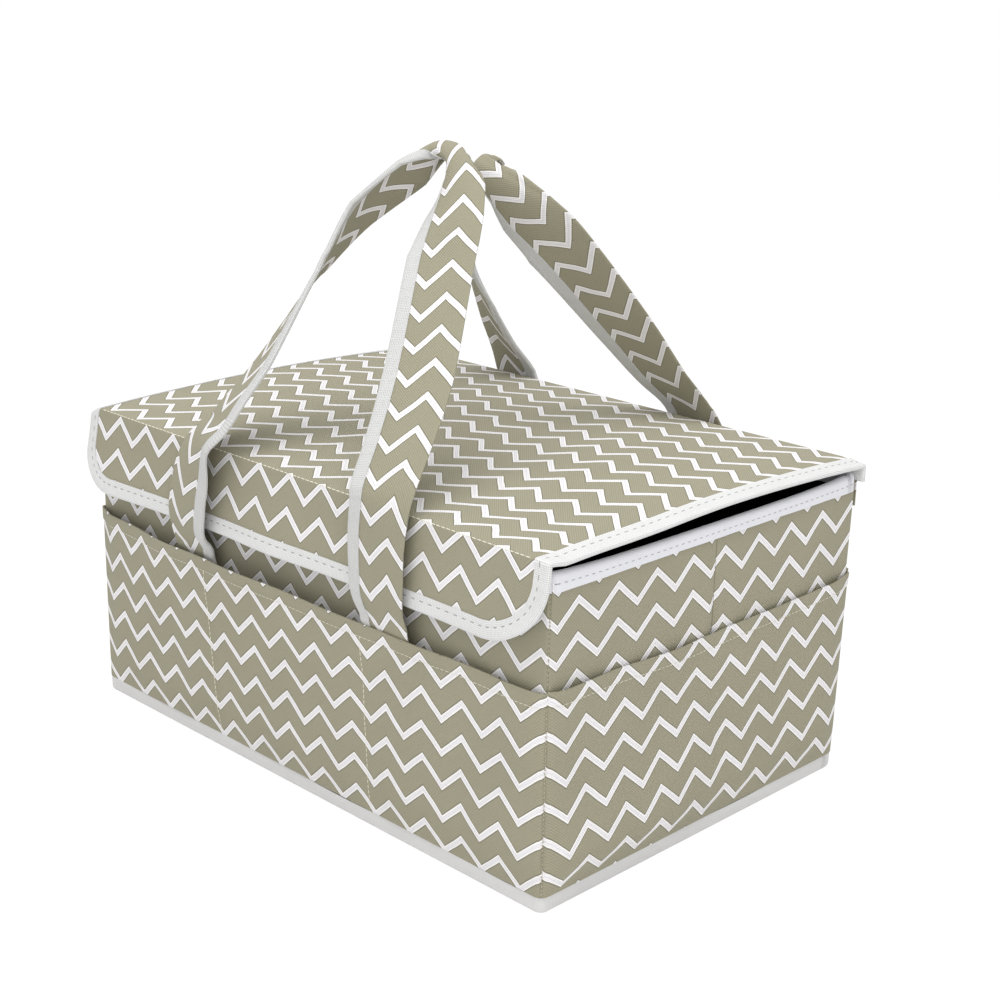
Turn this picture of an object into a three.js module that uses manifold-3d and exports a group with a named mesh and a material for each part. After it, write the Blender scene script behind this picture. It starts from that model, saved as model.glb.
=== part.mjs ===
// A soft diaper caddy: a cloth box stiffened with boards, with pockets round the outside, a hinged
// lid with a hanging front flap, and two carrying handles that lean together over the lid.
// Millimetres, +Z up, front towards -Y. The origin is the middle of the base, on the floor.

import * as THREE from "three";
import { mergeVertices } from "three/addons/utils/BufferGeometryUtils.js";
import Module from "manifold-3d";

// The box, over its cloth
const length = 380;
const width = 250;
const height = 180;

// Layers, and the room between pieces that lie against each other
const clothThick = 0.8;
const boardThick = 2;
const liningThick = 0.6;
const layerGap = 0.2;
const gap = 0.3;
const boardBottom = 5;
const boardDrop = 2; // from the rim to the top of a wall's board
const boardSplit = 0.4; // half the room at the fold between the two boards of an end wall
const floorBoardThick = 2.5;
const baseTapeLap = 0.5; // room between the base tape's inner edge and the cloth it goes round

// White binding tape
const tapeThick = 0.7;
const rimTapeWidth = 11.5;
const baseTapeWidth = 9;
const lidTapeWidth = 11.5;
const flapTapeWidth = 9.5;
const strapTapeWidth = 9;
const boxCornerRadius = 0.4;

// Outside pockets
const pocketTop = 121;
const pocketRoom = 4.6; // between wall and pocket
const pocketGape = 7; // how much further out the lip of a long pocket stands in its middle
const dividerX = 66; // sewn lines on the front and back pockets
const dividerDraw = 1.6; // how far a sewn line draws the cloth in
const seamReach = 16; // how far a seam draws the cloth in
const pocketInset = 1; // from a pocket's sewn end to the corner of the box
const pocketSwell = 22; // height over which the pocket leaves its sewn bottom edge
const pocketSlackFrom = 0.7 * pocketTop; // above here the dividers hold the cloth less
const pocketSlackTo = 0.85 * pocketTop;
const pocketColumn = 15;

// Lid and flap
const lidOverhang = 2.5;
const lidLift = 0.4; // from the rim to the lid's tape
const lidRise = 4; // crown of the lid, front to back
const lidBoardInset = 2;
const lidFront = -127.4;
const lidBack = 126.6;
const lidTapeFront = -126.8; // its side tapes stop here, clear of the folding flap
const lidStations = 10;
const flapFace = -129.4; // outer face of the flap's cloth
const flapTop = 184.6;
const flapBottom = 139;
const flapLiningTop = 176;
const flapCornerRadius = 30;
const flapLean = THREE.MathUtils.degToRad(5.5); // how far the flap hangs out from the upright
const hingeStripDrop = 22;
const hingeStripInset = 2;

// Handles: a doubled strap, bound along its inner edge
const strapThick = 1.8;
const strapFoot = 82; // middle of a leg where it enters the pocket
const strapTapeRoom = 0.6; // on each face of the strap, under its tape
const strapTapeStart = 0.03; // share of the handle left bare at each end of its tape
const strapTurn = 6; // most degrees of twist from one ring of the strap to the next
const strapColumns = [-1, 0, 0.55, 1]; // across the strap, as shares of half its width
const tailTop = 124;
const tailBottom = 36;
const tailHalf = 16;
const leanFoot = { y: 133.6, z: 188 }; // where a strap leaves the upright and leans in
const leanTop = { y: 13, z: 347 };

const finishes = {
  chevronCloth: { color: 0xa9a58f, roughness: 0.85 },
  binding: { color: 0xe9e8e4, roughness: 0.7 },
  lining: { color: 0x1d1d1f, roughness: 0.8 },
  board: { color: 0x77736c, roughness: 0.9 },
};

const wasm = await Module();
wasm.setup();
const caddy = new THREE.Group();

// Adds a named piece with a finish of its own.
function addPiece(name, finish, geometry, parent = caddy) {
  const material = new THREE.MeshStandardMaterial({ ...finishes[finish], metalness: 0 });
  const piece = new THREE.Mesh(geometry, material);
  piece.name = name;
  parent.add(piece);
  return piece;
}

// A flat layer between two corners.
function addPlate(name, finish, low, high, parent = caddy) {
  const [x, y, z] = low.map((v, i) => high[i] - v);
  const plate = addPiece(name, finish, new THREE.BoxGeometry(x, y, z), parent);
  plate.position.set(...low.map((v, i) => (v + high[i]) / 2));
}

// A closed geometry from points and triangles, turned so that its faces point out.
function closedGeometry(points, triangles) {
  const normal = new THREE.Vector3();
  let volume = 0;
  for (const [a, b, c] of triangles) volume += points[a].dot(normal.crossVectors(points[b], points[c]));
  const index = triangles.flatMap(([a, b, c]) => (volume < 0 ? [a, c, b] : [a, b, c]));
  return new THREE.BufferGeometry().setFromPoints(points).setIndex(index);
}

// A solid through a row of places for one outline, closed by that outline at both ends.
function loft(profile, places) {
  const outline = THREE.ShapeUtils.isClockWise(profile) ? profile.toReversed() : profile;
  const n = outline.length;
  const last = (places.length - 1) * n;
  const points = places.flatMap((place) => outline.map((p) => place(p.x, p.y)));
  const triangles = [];
  for (let start = 0; start < last; start += n)
    for (let j = 0; j < n; j++) {
      const [a, b] = [start + j, start + ((j + 1) % n)];
      triangles.push([a, b, b + n], [a, b + n, a + n]);
    }
  for (const [a, b, c] of THREE.ShapeUtils.triangulateShape(outline, []))
    triangles.push([c, b, a], [a + last, b + last, c + last]);
  return closedGeometry(points, triangles);
}

// A thin formed sheet over a grid; place gives a point for a column, a row and a face.
function formedSheet(columns, rows, place) {
  const n = columns.length;
  const layer = n * rows.length;
  const points = [0, 1].flatMap((face) => rows.flatMap((v) => columns.map((u) => place(u, v, face))));
  const triangles = [];
  const addQuad = (a, b, c, d) => triangles.push([a, b, c], [a, c, d]);
  for (let r = 0; r + 1 < rows.length; r++)
    for (let c = 0; c + 1 < n; c++) {
      const a = r * n + c;
      addQuad(a, a + 1, a + n + 1, a + n);
      addQuad(layer + a + n, layer + a + n + 1, layer + a + 1, layer + a);
    }
  const rim = [];
  for (let c = 0; c < n - 1; c++) rim.push(c);
  for (let r = 0; r < rows.length - 1; r++) rim.push(r * n + n - 1);
  for (let c = n - 1; c > 0; c--) rim.push(layer - n + c);
  for (let r = rows.length - 1; r > 0; r--) rim.push(r * n);
  rim.forEach((a, i) => {
    const b = rim[(i + 1) % rim.length];
    addQuad(b, a, a + layer, b + layer);
  });
  return closedGeometry(points, triangles);
}

const rectangle = (x0, x1, y0, y1) =>
  [[x0, y0], [x1, y0], [x1, y1], [x0, y1]].map((p) => new THREE.Vector2(...p));

// A tape folded round an edge: its fold is at x = 0 and its two legs run back over x < 0.
function foldedTape(reach, halfRoom) {
  const out = halfRoom + tapeThick;
  const corners = [
    [0, -out], [0, out], [-reach, out], [-reach, halfRoom],
    [-tapeThick, halfRoom], [-tapeThick, -halfRoom], [-reach, -halfRoom], [-reach, -out],
  ];
  return corners.map((p) => new THREE.Vector2(...p));
}

function roundedRectangle(halfX, halfY, radius) {
  const shape = new THREE.Shape();
  const [x, y] = [halfX - radius, halfY - radius];
  shape.absarc(x, y, radius, 0, Math.PI / 2);
  shape.absarc(-x, y, radius, Math.PI / 2, Math.PI);
  shape.absarc(-x, -y, radius, Math.PI, 1.5 * Math.PI);
  shape.absarc(x, -y, radius, 1.5 * Math.PI, 2 * Math.PI);
  return shape;
}

// A block of the box's own outline, grown by some millimetres, as a solid to cut with.
function boxBlock(grown, bottom, top) {
  const radius = Math.max(0.1, boxCornerRadius + grown);
  const outline = roundedRectangle(length / 2 + grown, width / 2 + grown, radius);
  const settings = { depth: top - bottom, bevelEnabled: false, curveSegments: 4 };
  const block = new THREE.ExtrudeGeometry(outline, settings);
  block.translate(0, 0, bottom);
  block.deleteAttribute("normal");
  block.deleteAttribute("uv");
  const merged = mergeVertices(block);
  const vertProperties = new Float32Array(merged.attributes.position.array);
  const triVerts = new Uint32Array(merged.index.array);
  return new wasm.Manifold(new wasm.Mesh({ numProp: 3, vertProperties, triVerts }));
}

function solidGeometry(solid) {
  const mesh = solid.getMesh();
  const positions = new THREE.BufferAttribute(mesh.vertProperties, mesh.numProp);
  return new THREE.BufferGeometry().setAttribute("position", positions)
    .setIndex(new THREE.BufferAttribute(mesh.triVerts, 1));
}

const evenSteps = (from, to, count) =>
  Array.from({ length: count + 1 }, (_, i) => from + ((to - from) * i) / count);

// Walls

const boardDepth = clothThick + layerGap; // from the outer face of the wall
const liningDepth = boardDepth + boardThick + layerGap;
const wallThick = liningDepth + liningThick;
const panelBottom = clothThick + gap;
const boardTop = height - boardDrop;

// A pocket cloth sewn to the wall at its ends, along its bottom and at its divider lines.
function pocketGeometry(span, reach, gape, dividers) {
  const bottom = baseTapeWidth + gap;
  const end = span / 2 - pocketInset;
  const swelled = bottom + pocketSwell;
  const drawnIn = (distance) => THREE.MathUtils.smoothstep(Math.abs(distance), 0, seamReach);
  const columns = evenSteps(-end, end, 2 * Math.round(end / pocketColumn));
  const rows = [...evenSteps(bottom, swelled, 3), pocketSlackFrom, pocketSlackTo, pocketTop];
  return formedSheet(columns, rows, (u, z, face) => {
    const sewn = THREE.MathUtils.smoothstep(z, bottom, swelled) * drawnIn(end - Math.abs(u));
    const slack = THREE.MathUtils.smoothstep(z, pocketSlackFrom, pocketSlackTo);
    const held = dividers.reduce((least, x) => Math.min(least, drawnIn(u - x)), 1);
    const rise = (z - bottom) / (pocketTop - bottom);
    const full = pocketRoom + gape * rise * (1 - (u / end) ** 2);
    const room = full - dividerDraw * (1 - Math.max(held, slack));
    const out = gap + (room - gap) * sewn + face * clothThick;
    return new THREE.Vector3(u, -reach - out, z);
  });
}

// One wall in its own frame, with its outer face towards -Y, turned into place.
function addWall(side, turn, span, reach, fits) {
  const wall = new THREE.Group();
  wall.rotation.z = turn;
  caddy.add(wall);
  const layer = (name, finish, half, depth, thick, z0, z1, from = -half) =>
    addPlate(`${side}_${name}`, finish, [from, depth - reach, z0], [half, depth + thick - reach, z1], wall);
  layer("panel", "chevronCloth", span / 2 - fits.panel, 0, clothThick, panelBottom, height);
  layer("lining", "lining", span / 2 - fits.lining, liningDepth, liningThick, boardBottom, height);
  const boardHalf = span / 2 - fits.board;
  if (fits.foldsInMiddle) {
    layer("board_near", "board", -boardSplit, boardDepth, boardThick, boardBottom, boardTop, -boardHalf);
    layer("board_far", "board", boardHalf, boardDepth, boardThick, boardBottom, boardTop, boardSplit);
  } else layer("board", "board", boardHalf, boardDepth, boardThick, boardBottom, boardTop);
  addPiece(`${side}_pocket`, "chevronCloth", pocketGeometry(span, reach, fits.gape, fits.dividers), wall);
}

const longWall = {
  panel: 0,
  board: boardDepth,
  lining: wallThick + layerGap,
  gape: pocketGape,
  dividers: [-dividerX, dividerX],
  foldsInMiddle: false,
};
const endWall = {
  panel: boardDepth,
  board: liningDepth,
  lining: liningDepth,
  gape: 0,
  dividers: [],
  foldsInMiddle: true,
};
addWall("front", 0, length, width / 2, longWall);
addWall("right", Math.PI / 2, width, length / 2, endWall);
addWall("back", Math.PI, length, width / 2, longWall);
addWall("left", -Math.PI / 2, width, length / 2, endWall);

// Base

const floorInset = wallThick + gap;
const baseClothInset = baseTapeWidth - baseTapeLap;
const floorBoardBottom = clothThick + gap;
const floorLiningBottom = floorBoardBottom + floorBoardThick + gap;
for (const [name, finish, inset, bottom, thick] of [
  ["base_cloth", "chevronCloth", baseClothInset, 0, clothThick],
  ["base_board", "board", floorInset, floorBoardBottom, floorBoardThick],
  ["base_lining", "lining", floorInset, floorLiningBottom, liningThick],
]) {
  const [x, y] = [length / 2 - inset, width / 2 - inset];
  addPlate(name, finish, [-x, -y, bottom], [x, y, bottom + thick]);
}

// Tapes round the base and the rim

const baseTape = boxBlock(gap + tapeThick, 0, baseTapeWidth)
  .subtract(boxBlock(gap, clothThick, baseTapeWidth + 1))
  .subtract(boxBlock(gap - baseClothInset, -1, baseTapeWidth + 1));
addPiece("base_binding", "binding", solidGeometry(baseTape));

const rimBottom = height + gap + tapeThick - rimTapeWidth;
const rimTop = height + gap + tapeThick;
const rimTape = boxBlock(gap + tapeThick, rimBottom, rimTop)
  .subtract(boxBlock(-wallThick - gap - tapeThick, rimBottom - 1, rimTop + 1))
  .subtract(boxBlock(gap, rimBottom - 1, height + gap).subtract(boxBlock(-wallThick - gap, 0, rimTop)));
addPiece("rim_binding", "binding", solidGeometry(rimTape));

// Lid: lining, board and cover under one crown, with a tape along each end

const lidCrown = (y) => lidRise * (1 - (y / lidBack) ** 2);
const lidHalf = length / 2 + lidOverhang;
const lidLayers = { tape: rimTop + lidLift };
lidLayers.lining = lidLayers.tape + tapeThick + gap;
lidLayers.board = lidLayers.lining + liningThick + layerGap;
lidLayers.cover = lidLayers.board + boardThick + layerGap;

function addLidLayer(name, finish, outline, front, back) {
  const places = evenSteps(front, back, lidStations)
    .map((y) => (x, z) => new THREE.Vector3(x, y, z + lidCrown(y)));
  addPiece(name, finish, loft(outline, places));
}
const lidBoardHalf = lidHalf - lidBoardInset;
addLidLayer("lid_lining", "lining",
  rectangle(-lidHalf, lidHalf, lidLayers.lining, lidLayers.lining + liningThick), lidFront, lidBack);
addLidLayer("lid_board", "board",
  rectangle(-lidBoardHalf, lidBoardHalf, lidLayers.board, lidLayers.board + boardThick),
  lidFront + lidBoardInset, lidBack - lidBoardInset);
addLidLayer("lid_cover", "chevronCloth",
  rectangle(-lidHalf, lidHalf, lidLayers.cover, lidLayers.cover + clothThick), lidFront, lidBack);

const lidMiddle = (lidLayers.lining + lidLayers.cover + clothThick) / 2;
const lidTape = foldedTape(lidTapeWidth, lidMiddle - lidLayers.lining + gap);
for (const [side, sign] of [["left", -1], ["right", 1]]) {
  const edge = lidHalf + gap + tapeThick;
  const outline = lidTape.map((p) => new THREE.Vector2(sign * (edge + p.x), lidMiddle + p.y));
  addLidLayer(`lid_binding_${side}`, "binding", outline, lidTapeFront, lidBack);
}

// The cloth that hinges the lid to the back wall
const hingeHalf = length / 2 - hingeStripInset;
const hingeFace = width / 2 + 2 * gap + tapeThick;
addPlate("lid_hinge", "chevronCloth",
  [-hingeHalf, hingeFace, rimTop - hingeStripDrop], [hingeHalf, hingeFace + clothThick, rimTop]);

// Flap: cloth, lining and a tape round its two ends and its lower edge, hung from the fold

const flapFold = new THREE.Group();
flapFold.position.set(0, flapFace + clothThick, flapTop);
flapFold.rotation.x = -flapLean;
caddy.add(flapFold);
const flap = new THREE.Group();
flap.position.copy(flapFold.position).negate();
flapFold.add(flap);

function flapOutline(top) {
  const [x, z, r] = [lidHalf, flapBottom, flapCornerRadius];
  const shape = new THREE.Shape();
  shape.moveTo(x, top).lineTo(-x, top);
  shape.absarc(r - x, z + r, r, Math.PI, 1.5 * Math.PI);
  shape.absarc(x - r, z + r, r, 1.5 * Math.PI, 2 * Math.PI);
  return shape;
}
function addFlapLayer(name, finish, top, face, thick) {
  const settings = { depth: thick, bevelEnabled: false, curveSegments: 8 };
  const layer = addPiece(name, finish, new THREE.ExtrudeGeometry(flapOutline(top), settings), flap);
  layer.rotation.x = Math.PI / 2;
  layer.position.y = face + thick;
}
addFlapLayer("flap_cover", "chevronCloth", flapTop, flapFace, clothThick);
addFlapLayer("flap_lining", "lining", flapLiningTop, flapFace + clothThick + gap, liningThick);

const flapDepth = clothThick + gap + liningThick;
const flapEdge = flapOutline(flapLiningTop).getPoints(8).slice(1, -1);
const flapPlaces = flapEdge.map((point, i) => {
  const [before, after] = [flapEdge[i - 1] ?? point, flapEdge[i + 1] ?? point];
  const along = after.clone().sub(before).normalize();
  const out = new THREE.Vector2(along.y, -along.x);
  return (a, b) => {
    const p = point.clone().addScaledVector(out, a + gap + tapeThick);
    return new THREE.Vector3(p.x, flapFace + flapDepth / 2 + b, p.y);
  };
});
addPiece("flap_binding", "binding", loft(foldedTape(flapTapeWidth, flapDepth / 2 + gap), flapPlaces), flap);

// Handles

const leanRun = new THREE.Vector2(leanFoot.y - leanTop.y, leanTop.z - leanFoot.z);
const leanLength = leanRun.length();

// A point on the bent surface that the straps lie along: across, up from the bend, and in behind it.
function onLean(x, up, behind) {
  if (up > 0) {
    const [dy, dz] = [leanRun.x / leanLength, leanRun.y / leanLength];
    return new THREE.Vector3(x, leanFoot.y - dy * up - dz * behind, leanFoot.z + dz * up - dy * behind);
  }
  return new THREE.Vector3(x, leanFoot.y - behind, leanFoot.z + up);
}

// Stations from the right foot over the fold at the top to the left foot: across, up from the bend,
// behind the lean, half the width, and the turn of the strap about its own line in degrees.
const frontStations = [
  [strapFoot, -61.4, 0.4, 17.5, 0],
  [strapFoot, -54, -2.8, 18.5, 0],
  [strapFoot, -46, -4.6, 19.5, 0],
  [strapFoot, -36, -4.6, 20, 0],
  [81, -20, -3.8, 20.5, 0],
  [80, 3, -3, 20.5, 0],
  [76, 15, -3.4, 20.5, 0],
  [71, 28, -2.6, 20.5, 0],
  [58, 66, -0.6, 20.5, 0],
  [34, 140, 0, 20.5, 0],
  [21, 178, 0, 18, 0],
  [11, 196, 0.8, 11, 0],
  [3, 202, 4, 8, -12],
  [-5, 198, 7, 9, -36],
  [-21, 184, 7, 15, -88],
  [-40, 155, 5, 20, -119],
  [-52, 111, 2, 20.5, -135],
  [-60, 52, -1.2, 20.5, -150],
  [-64, 24, -4.2, 20.5, -160],
  [-66, 13, -4.8, 20.5, -162],
  [-68.5, 3, -4.8, 20.5, -164],
  [-76, -20, -4.8, 20.5, -168],
  [-79.5, -36, -5.4, 20, -171],
  [-81, -46, -5.4, 19.5, -173],
  [-strapFoot, -54, -3, 18.5, -176],
  [-strapFoot, -61.4, 0.4, 17.5, -180],
];
const rearStations = [
  [strapFoot, -61.4, 0.4, 17.5, 0],
  [strapFoot, -54, 0, 18.5, 0],
  [72, -20, 0, 20.5, 0],
  [64, 3, -1, 20.5, 0],
  [57, 30, 0, 20.5, 8],
  [45, 66, 0, 20.5, 25],
  [27, 132, 0, 20.5, 22],
  [20, 155, 0, 19.5, 9],
  [14, 174, 0, 16, 0],
  [9, 188, -0.8, 11, 0],
  [2, 195, -4, 8, -12],
  [-6, 191, -7, 9, -36],
  [-21, 177, -7, 15, -88],
  [-44, 150, -5, 20, -119],
  [-68, 111, -2, 20.5, -134],
  [-79, 76, 0, 20.5, -140],
  [-83, 41, 0, 20.5, -155],
  [-86, 3, -1, 20.5, -170],
  [-83, -20, 0, 20.5, -178],
  [-strapFoot, -54, 0, 18.5, -180],
  [-strapFoot, -61.4, 0.4, 17.5, -180],
];

// Rings along a strap: each has its middle, the way to its bound edge, its normal and half its width.
function strapRings(stations, towards) {
  const middles = stations.map(([x, up, behind]) => onLean(x, up, behind));
  middles.forEach((p) => (p.y *= towards));
  const line = new THREE.CatmullRomCurve3(middles, false, "centripetal");
  const spans = stations.length - 1;
  const shares = [0];
  for (let i = 0; i < spans; i++) {
    const steps = Math.max(3, Math.ceil(Math.abs(stations[i + 1][4] - stations[i][4]) / strapTurn));
    for (let k = 1; k <= steps; k++) shares.push((i + k / steps) / spans);
  }
  return shares.map((t) => {
    const i = Math.min(Math.floor(t * spans), spans - 1);
    const between = (k) => THREE.MathUtils.lerp(stations[i][k], stations[i + 1][k], t * spans - i);
    const tangent = line.getTangent(t);
    const bound = new THREE.Vector3(-1, 0, 0).addScaledVector(tangent, tangent.x).normalize();
    bound.applyAxisAngle(tangent, THREE.MathUtils.degToRad(between(4)));
    return { t, middle: line.getPoint(t), bound, normal: tangent.cross(bound), half: between(3) };
  });
}

function addHandle(name, stations, towards) {
  const rings = strapRings(stations, towards);
  const placeOn = (ring) => (a, b) =>
    ring.middle.clone().addScaledVector(ring.bound, a * ring.half).addScaledVector(ring.normal, b);
  const section = [...strapColumns.map((a) => [a, -1]), ...strapColumns.toReversed().map((a) => [a, 1])]
    .map(([a, b]) => new THREE.Vector2(a, (b * strapThick) / 2));
  addPiece(`${name}_strap`, "chevronCloth", loft(section, rings.map(placeOn)));
  const placeOnEdge = (ring) => (a, b) =>
    ring.middle.clone().addScaledVector(ring.bound, ring.half + gap + tapeThick + a)
      .addScaledVector(ring.normal, b);
  const taped = rings.filter((ring) => ring.t > strapTapeStart && ring.t < 1 - strapTapeStart);
  const tape = foldedTape(strapTapeWidth, strapThick / 2 + strapTapeRoom);
  addPiece(`${name}_binding`, "binding", loft(tape, taped.map(placeOnEdge)));
}
addHandle("front_handle", frontStations, -1);
addHandle("rear_handle", rearStations, 1);

// Strap ends, sewn to the wall behind the pocket and coming out over its lip
const tailLine = [[tailBottom, 1.2], [90, 1.2], [100, 2], [110, 4], [118, 6.3], [tailTop, 8]];
const tailSection = rectangle(-tailHalf, tailHalf, -strapThick / 2, strapThick / 2);
for (const [wall, towards] of [["front", -1], ["rear", 1]])
  for (const [side, sign] of [["left", -1], ["right", 1]]) {
    const places = tailLine.map(([z, out]) => (a, b) =>
      new THREE.Vector3(sign * strapFoot + a, towards * (width / 2 + out + b), z));
    addPiece(`${wall}_tail_${side}`, "chevronCloth", loft(tailSection, places));
  }

export default caddy;
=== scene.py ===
import math
import bpy
import numpy as np
from mathutils import Matrix, Vector


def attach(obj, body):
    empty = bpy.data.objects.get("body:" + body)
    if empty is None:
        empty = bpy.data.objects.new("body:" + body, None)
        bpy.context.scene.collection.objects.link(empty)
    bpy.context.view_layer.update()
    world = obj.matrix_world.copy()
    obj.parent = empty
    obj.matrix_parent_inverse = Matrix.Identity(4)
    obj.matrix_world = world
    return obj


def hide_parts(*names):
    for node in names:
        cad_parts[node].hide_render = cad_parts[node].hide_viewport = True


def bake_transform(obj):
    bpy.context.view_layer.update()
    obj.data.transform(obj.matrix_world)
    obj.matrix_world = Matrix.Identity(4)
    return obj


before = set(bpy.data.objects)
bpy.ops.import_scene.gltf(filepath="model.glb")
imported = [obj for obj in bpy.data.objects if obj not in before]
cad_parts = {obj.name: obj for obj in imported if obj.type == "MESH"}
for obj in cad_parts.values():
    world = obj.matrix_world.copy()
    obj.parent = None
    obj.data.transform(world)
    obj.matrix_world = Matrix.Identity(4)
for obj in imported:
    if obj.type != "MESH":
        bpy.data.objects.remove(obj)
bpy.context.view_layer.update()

scene = bpy.context.scene
scene.view_settings.view_transform = "Standard"

# camera at the photograph's viewing angle
cameraView = {
    "lens": 63.8695,
    "sensor": 36.0,
    "place": (0.71672, -0.69573, 0.46119),
    "right": (0.70811, 0.70578, 0.02116),
    "up": (-0.22769, 0.19988, 0.95300),
    "forward": (-0.66838, 0.67965, -0.30224),
}
cameraData = bpy.data.cameras.new("camera")
cameraData.lens = cameraView["lens"]
cameraData.sensor_width = cameraView["sensor"]
cameraData.sensor_fit = "HORIZONTAL"
cameraObject = bpy.data.objects.new("camera", cameraData)
scene.collection.objects.link(cameraObject)
axes = [Vector(cameraView[k]).normalized() for k in ("right", "up", "forward")]
turn = Matrix((axes[0], axes[1], -axes[2])).transposed().to_4x4()
cameraObject.matrix_world = Matrix.Translation(cameraView["place"]) @ turn
scene.camera = cameraObject
print("camera set")


def smooth(value, low, high):
    t = np.clip((np.asarray(value, float) - low) / (high - low), 0, 1)
    return t * t * (3 - 2 * t)


def spread(low, high, step):
    count = max(1, int(round((high - low) / step)))
    return np.linspace(low, high, count + 1)


def unit(v):
    return v / np.maximum(np.linalg.norm(v, axis=-1, keepdims=True), 1e-12)


def joined(*parts):  # equal arrays of numbers into one array of points
    return np.stack(parts, axis=-1)


def wavy(x, y, seed, size):  # a few fixed sines, about -1 to 1, for slack in the cloth
    draw = np.random.default_rng(seed)
    total = 0
    for k in range(4):
        angle, phase = draw.uniform(0, math.tau, 2)
        reach = math.tau / (size * draw.uniform(0.7, 1.4))
        total = total + np.sin(reach * (x * math.cos(angle) + y * math.sin(angle)) + phase)
    return total / 2.6


# shader helpers
def feed(tree, socket, value):  # a link from another node, or a plain value
    if isinstance(value, bpy.types.NodeSocket):
        tree.links.new(value, socket)
    else:
        socket.default_value = value


def addNode(tree, kind, **inputs):
    node = tree.nodes.new(kind)
    for name, value in inputs.items():
        numbered = name[0] == "i" and name[1:].isdigit()
        feed(tree, node.inputs[int(name[1:]) if numbered else name], value)
    return node


def calc(tree, operation, *values):
    node = tree.nodes.new("ShaderNodeMath")
    node.operation = operation
    for socket, value in zip(node.inputs, values):
        feed(tree, socket, value)
    return node.outputs[0]


def times(tree, first, second):
    return calc(tree, "MULTIPLY", first, second)


def fade(tree, value, low, high, atLow=0.0, atHigh=1.0):
    node = tree.nodes.new("ShaderNodeMapRange")
    node.interpolation_type = "SMOOTHSTEP"
    for socket, number in zip(node.inputs, (value, low, high, atLow, atHigh)):
        feed(tree, socket, number)
    return node.outputs[0]


def mixColor(tree, factor, first, second, blendType="MIX"):
    node = tree.nodes.new("ShaderNodeMix")
    node.data_type = "RGBA"
    node.blend_type = blendType
    for place, value in ((0, factor), (6, first), (7, second)):
        feed(tree, node.inputs[place], value)
    return node.outputs[2]


def newGroup(name, floats, outputs):  # takes the cloth's map and some numbers, and gives numbers
    group = bpy.data.node_groups.new(name, "ShaderNodeTree")
    group.interface.new_socket("Vector", in_out="INPUT", socket_type="NodeSocketVector")
    for label, value in floats.items():
        socket = group.interface.new_socket(label, in_out="INPUT", socket_type="NodeSocketFloat")
        socket.default_value = value
    for label in outputs:
        group.interface.new_socket(label, in_out="OUTPUT", socket_type="NodeSocketFloat")
    return group, group.nodes.new("NodeGroupInput").outputs, group.nodes.new("NodeGroupOutput").inputs


# zigzag rows: a peak's tip stands at the origin of the cloth's own map, in metres
def makeChevronGroup():
    sizes = {"Period": 0.0268, "Pitch": 0.01865, "Rise": 0.0124, "Line": 0.0044}
    group, given, put = newGroup("chevronRows", sizes, ("Line", "EdgeShade", "Border"))
    noise = addNode(group, "ShaderNodeTexNoise", Vector=given["Vector"], Scale=55.0, Detail=1.0)
    stir = addNode(group, "ShaderNodeVectorMath", i0=noise.outputs["Color"], i1=(0.5, 0.5, 0.5))
    stir.operation = "SUBTRACT"
    small = addNode(group, "ShaderNodeVectorMath", i0=stir.outputs[0])
    small.operation = "SCALE"
    small.inputs["Scale"].default_value = 0.0011
    moved = addNode(group, "ShaderNodeVectorMath", i0=given["Vector"], i1=small.outputs[0])
    split = addNode(group, "ShaderNodeSeparateXYZ", Vector=moved.outputs[0])
    half = times(group, given["Period"], 0.5)
    zig = calc(group, "DIVIDE", calc(group, "PINGPONG", split.outputs[0], half), half)
    halfLine = times(group, given["Line"], 0.5)
    middle = calc(group, "ADD", times(group, zig, given["Rise"]), halfLine)
    offset = calc(group, "ADD", split.outputs[1], middle)
    halfPitch = times(group, given["Pitch"], 0.5)
    wrapped = calc(group, "WRAP", offset, halfPitch, times(group, halfPitch, -1.0))
    beyond = calc(group, "SUBTRACT", calc(group, "ABSOLUTE", wrapped), halfLine)
    line = fade(group, beyond, -0.00022, 0.00022, 1.0, 0.0)
    group.links.new(line, put["Line"])
    border = fade(group, beyond, -0.0013, -0.0005)
    group.links.new(times(group, border, line), put["Border"])
    # just outside each white line the cloth is darkened: painted shade along the line's edge
    near = fade(group, beyond, 0.0001, 0.0011, 1.0, 0.0)
    group.links.new(times(group, near, calc(group, "SUBTRACT", 1.0, line)), put["EdgeShade"])
    return group


# slanted ribs of a twill weave, the broken colour of its yarn, and painted shade along the ribs in its colour
def makeTwillGroup():
    group, given, put = newGroup("twillRibs", {"Rib": 0.0011, "Slant": -0.785}, ("Height", "ToneAndShade"))
    split = addNode(group, "ShaderNodeSeparateXYZ", Vector=given["Vector"])
    u, v = split.outputs[0], split.outputs[1]
    cosine, sine = calc(group, "COSINE", given["Slant"]), calc(group, "SINE", given["Slant"])
    across = calc(group, "SUBTRACT", times(group, v, cosine), times(group, u, sine))
    along = calc(group, "ADD", times(group, u, cosine), times(group, v, sine))
    wave, knot = (calc(group, "SINE", times(group, calc(group, "DIVIDE", run, given["Rib"]), turns))
                  for run, turns in ((across, math.tau), (along, math.tau * 0.8)))
    height = calc(group, "ADD", wave, times(group, knot, 0.35))
    group.links.new(calc(group, "MULTIPLY_ADD", height, 0.35, 0.5), put["Height"])
    yarn = addNode(group, "ShaderNodeTexNoise", Vector=given["Vector"], Scale=900.0, Detail=2.0)
    broad = addNode(group, "ShaderNodeTexNoise", Vector=given["Vector"], Scale=22.0, Detail=3.0)
    fine = calc(group, "MULTIPLY_ADD", yarn.outputs["Fac"], 0.10, 0.95)
    wide = calc(group, "MULTIPLY_ADD", broad.outputs["Fac"], 0.13, 0.935)
    # painted shade: the colour darkens in the hollows between the ribs
    ribShade = calc(group, "MULTIPLY_ADD", height, 0.08, 1.0)
    group.links.new(times(group, times(group, fine, wide), ribShade), put["ToneAndShade"])
    return group
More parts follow.
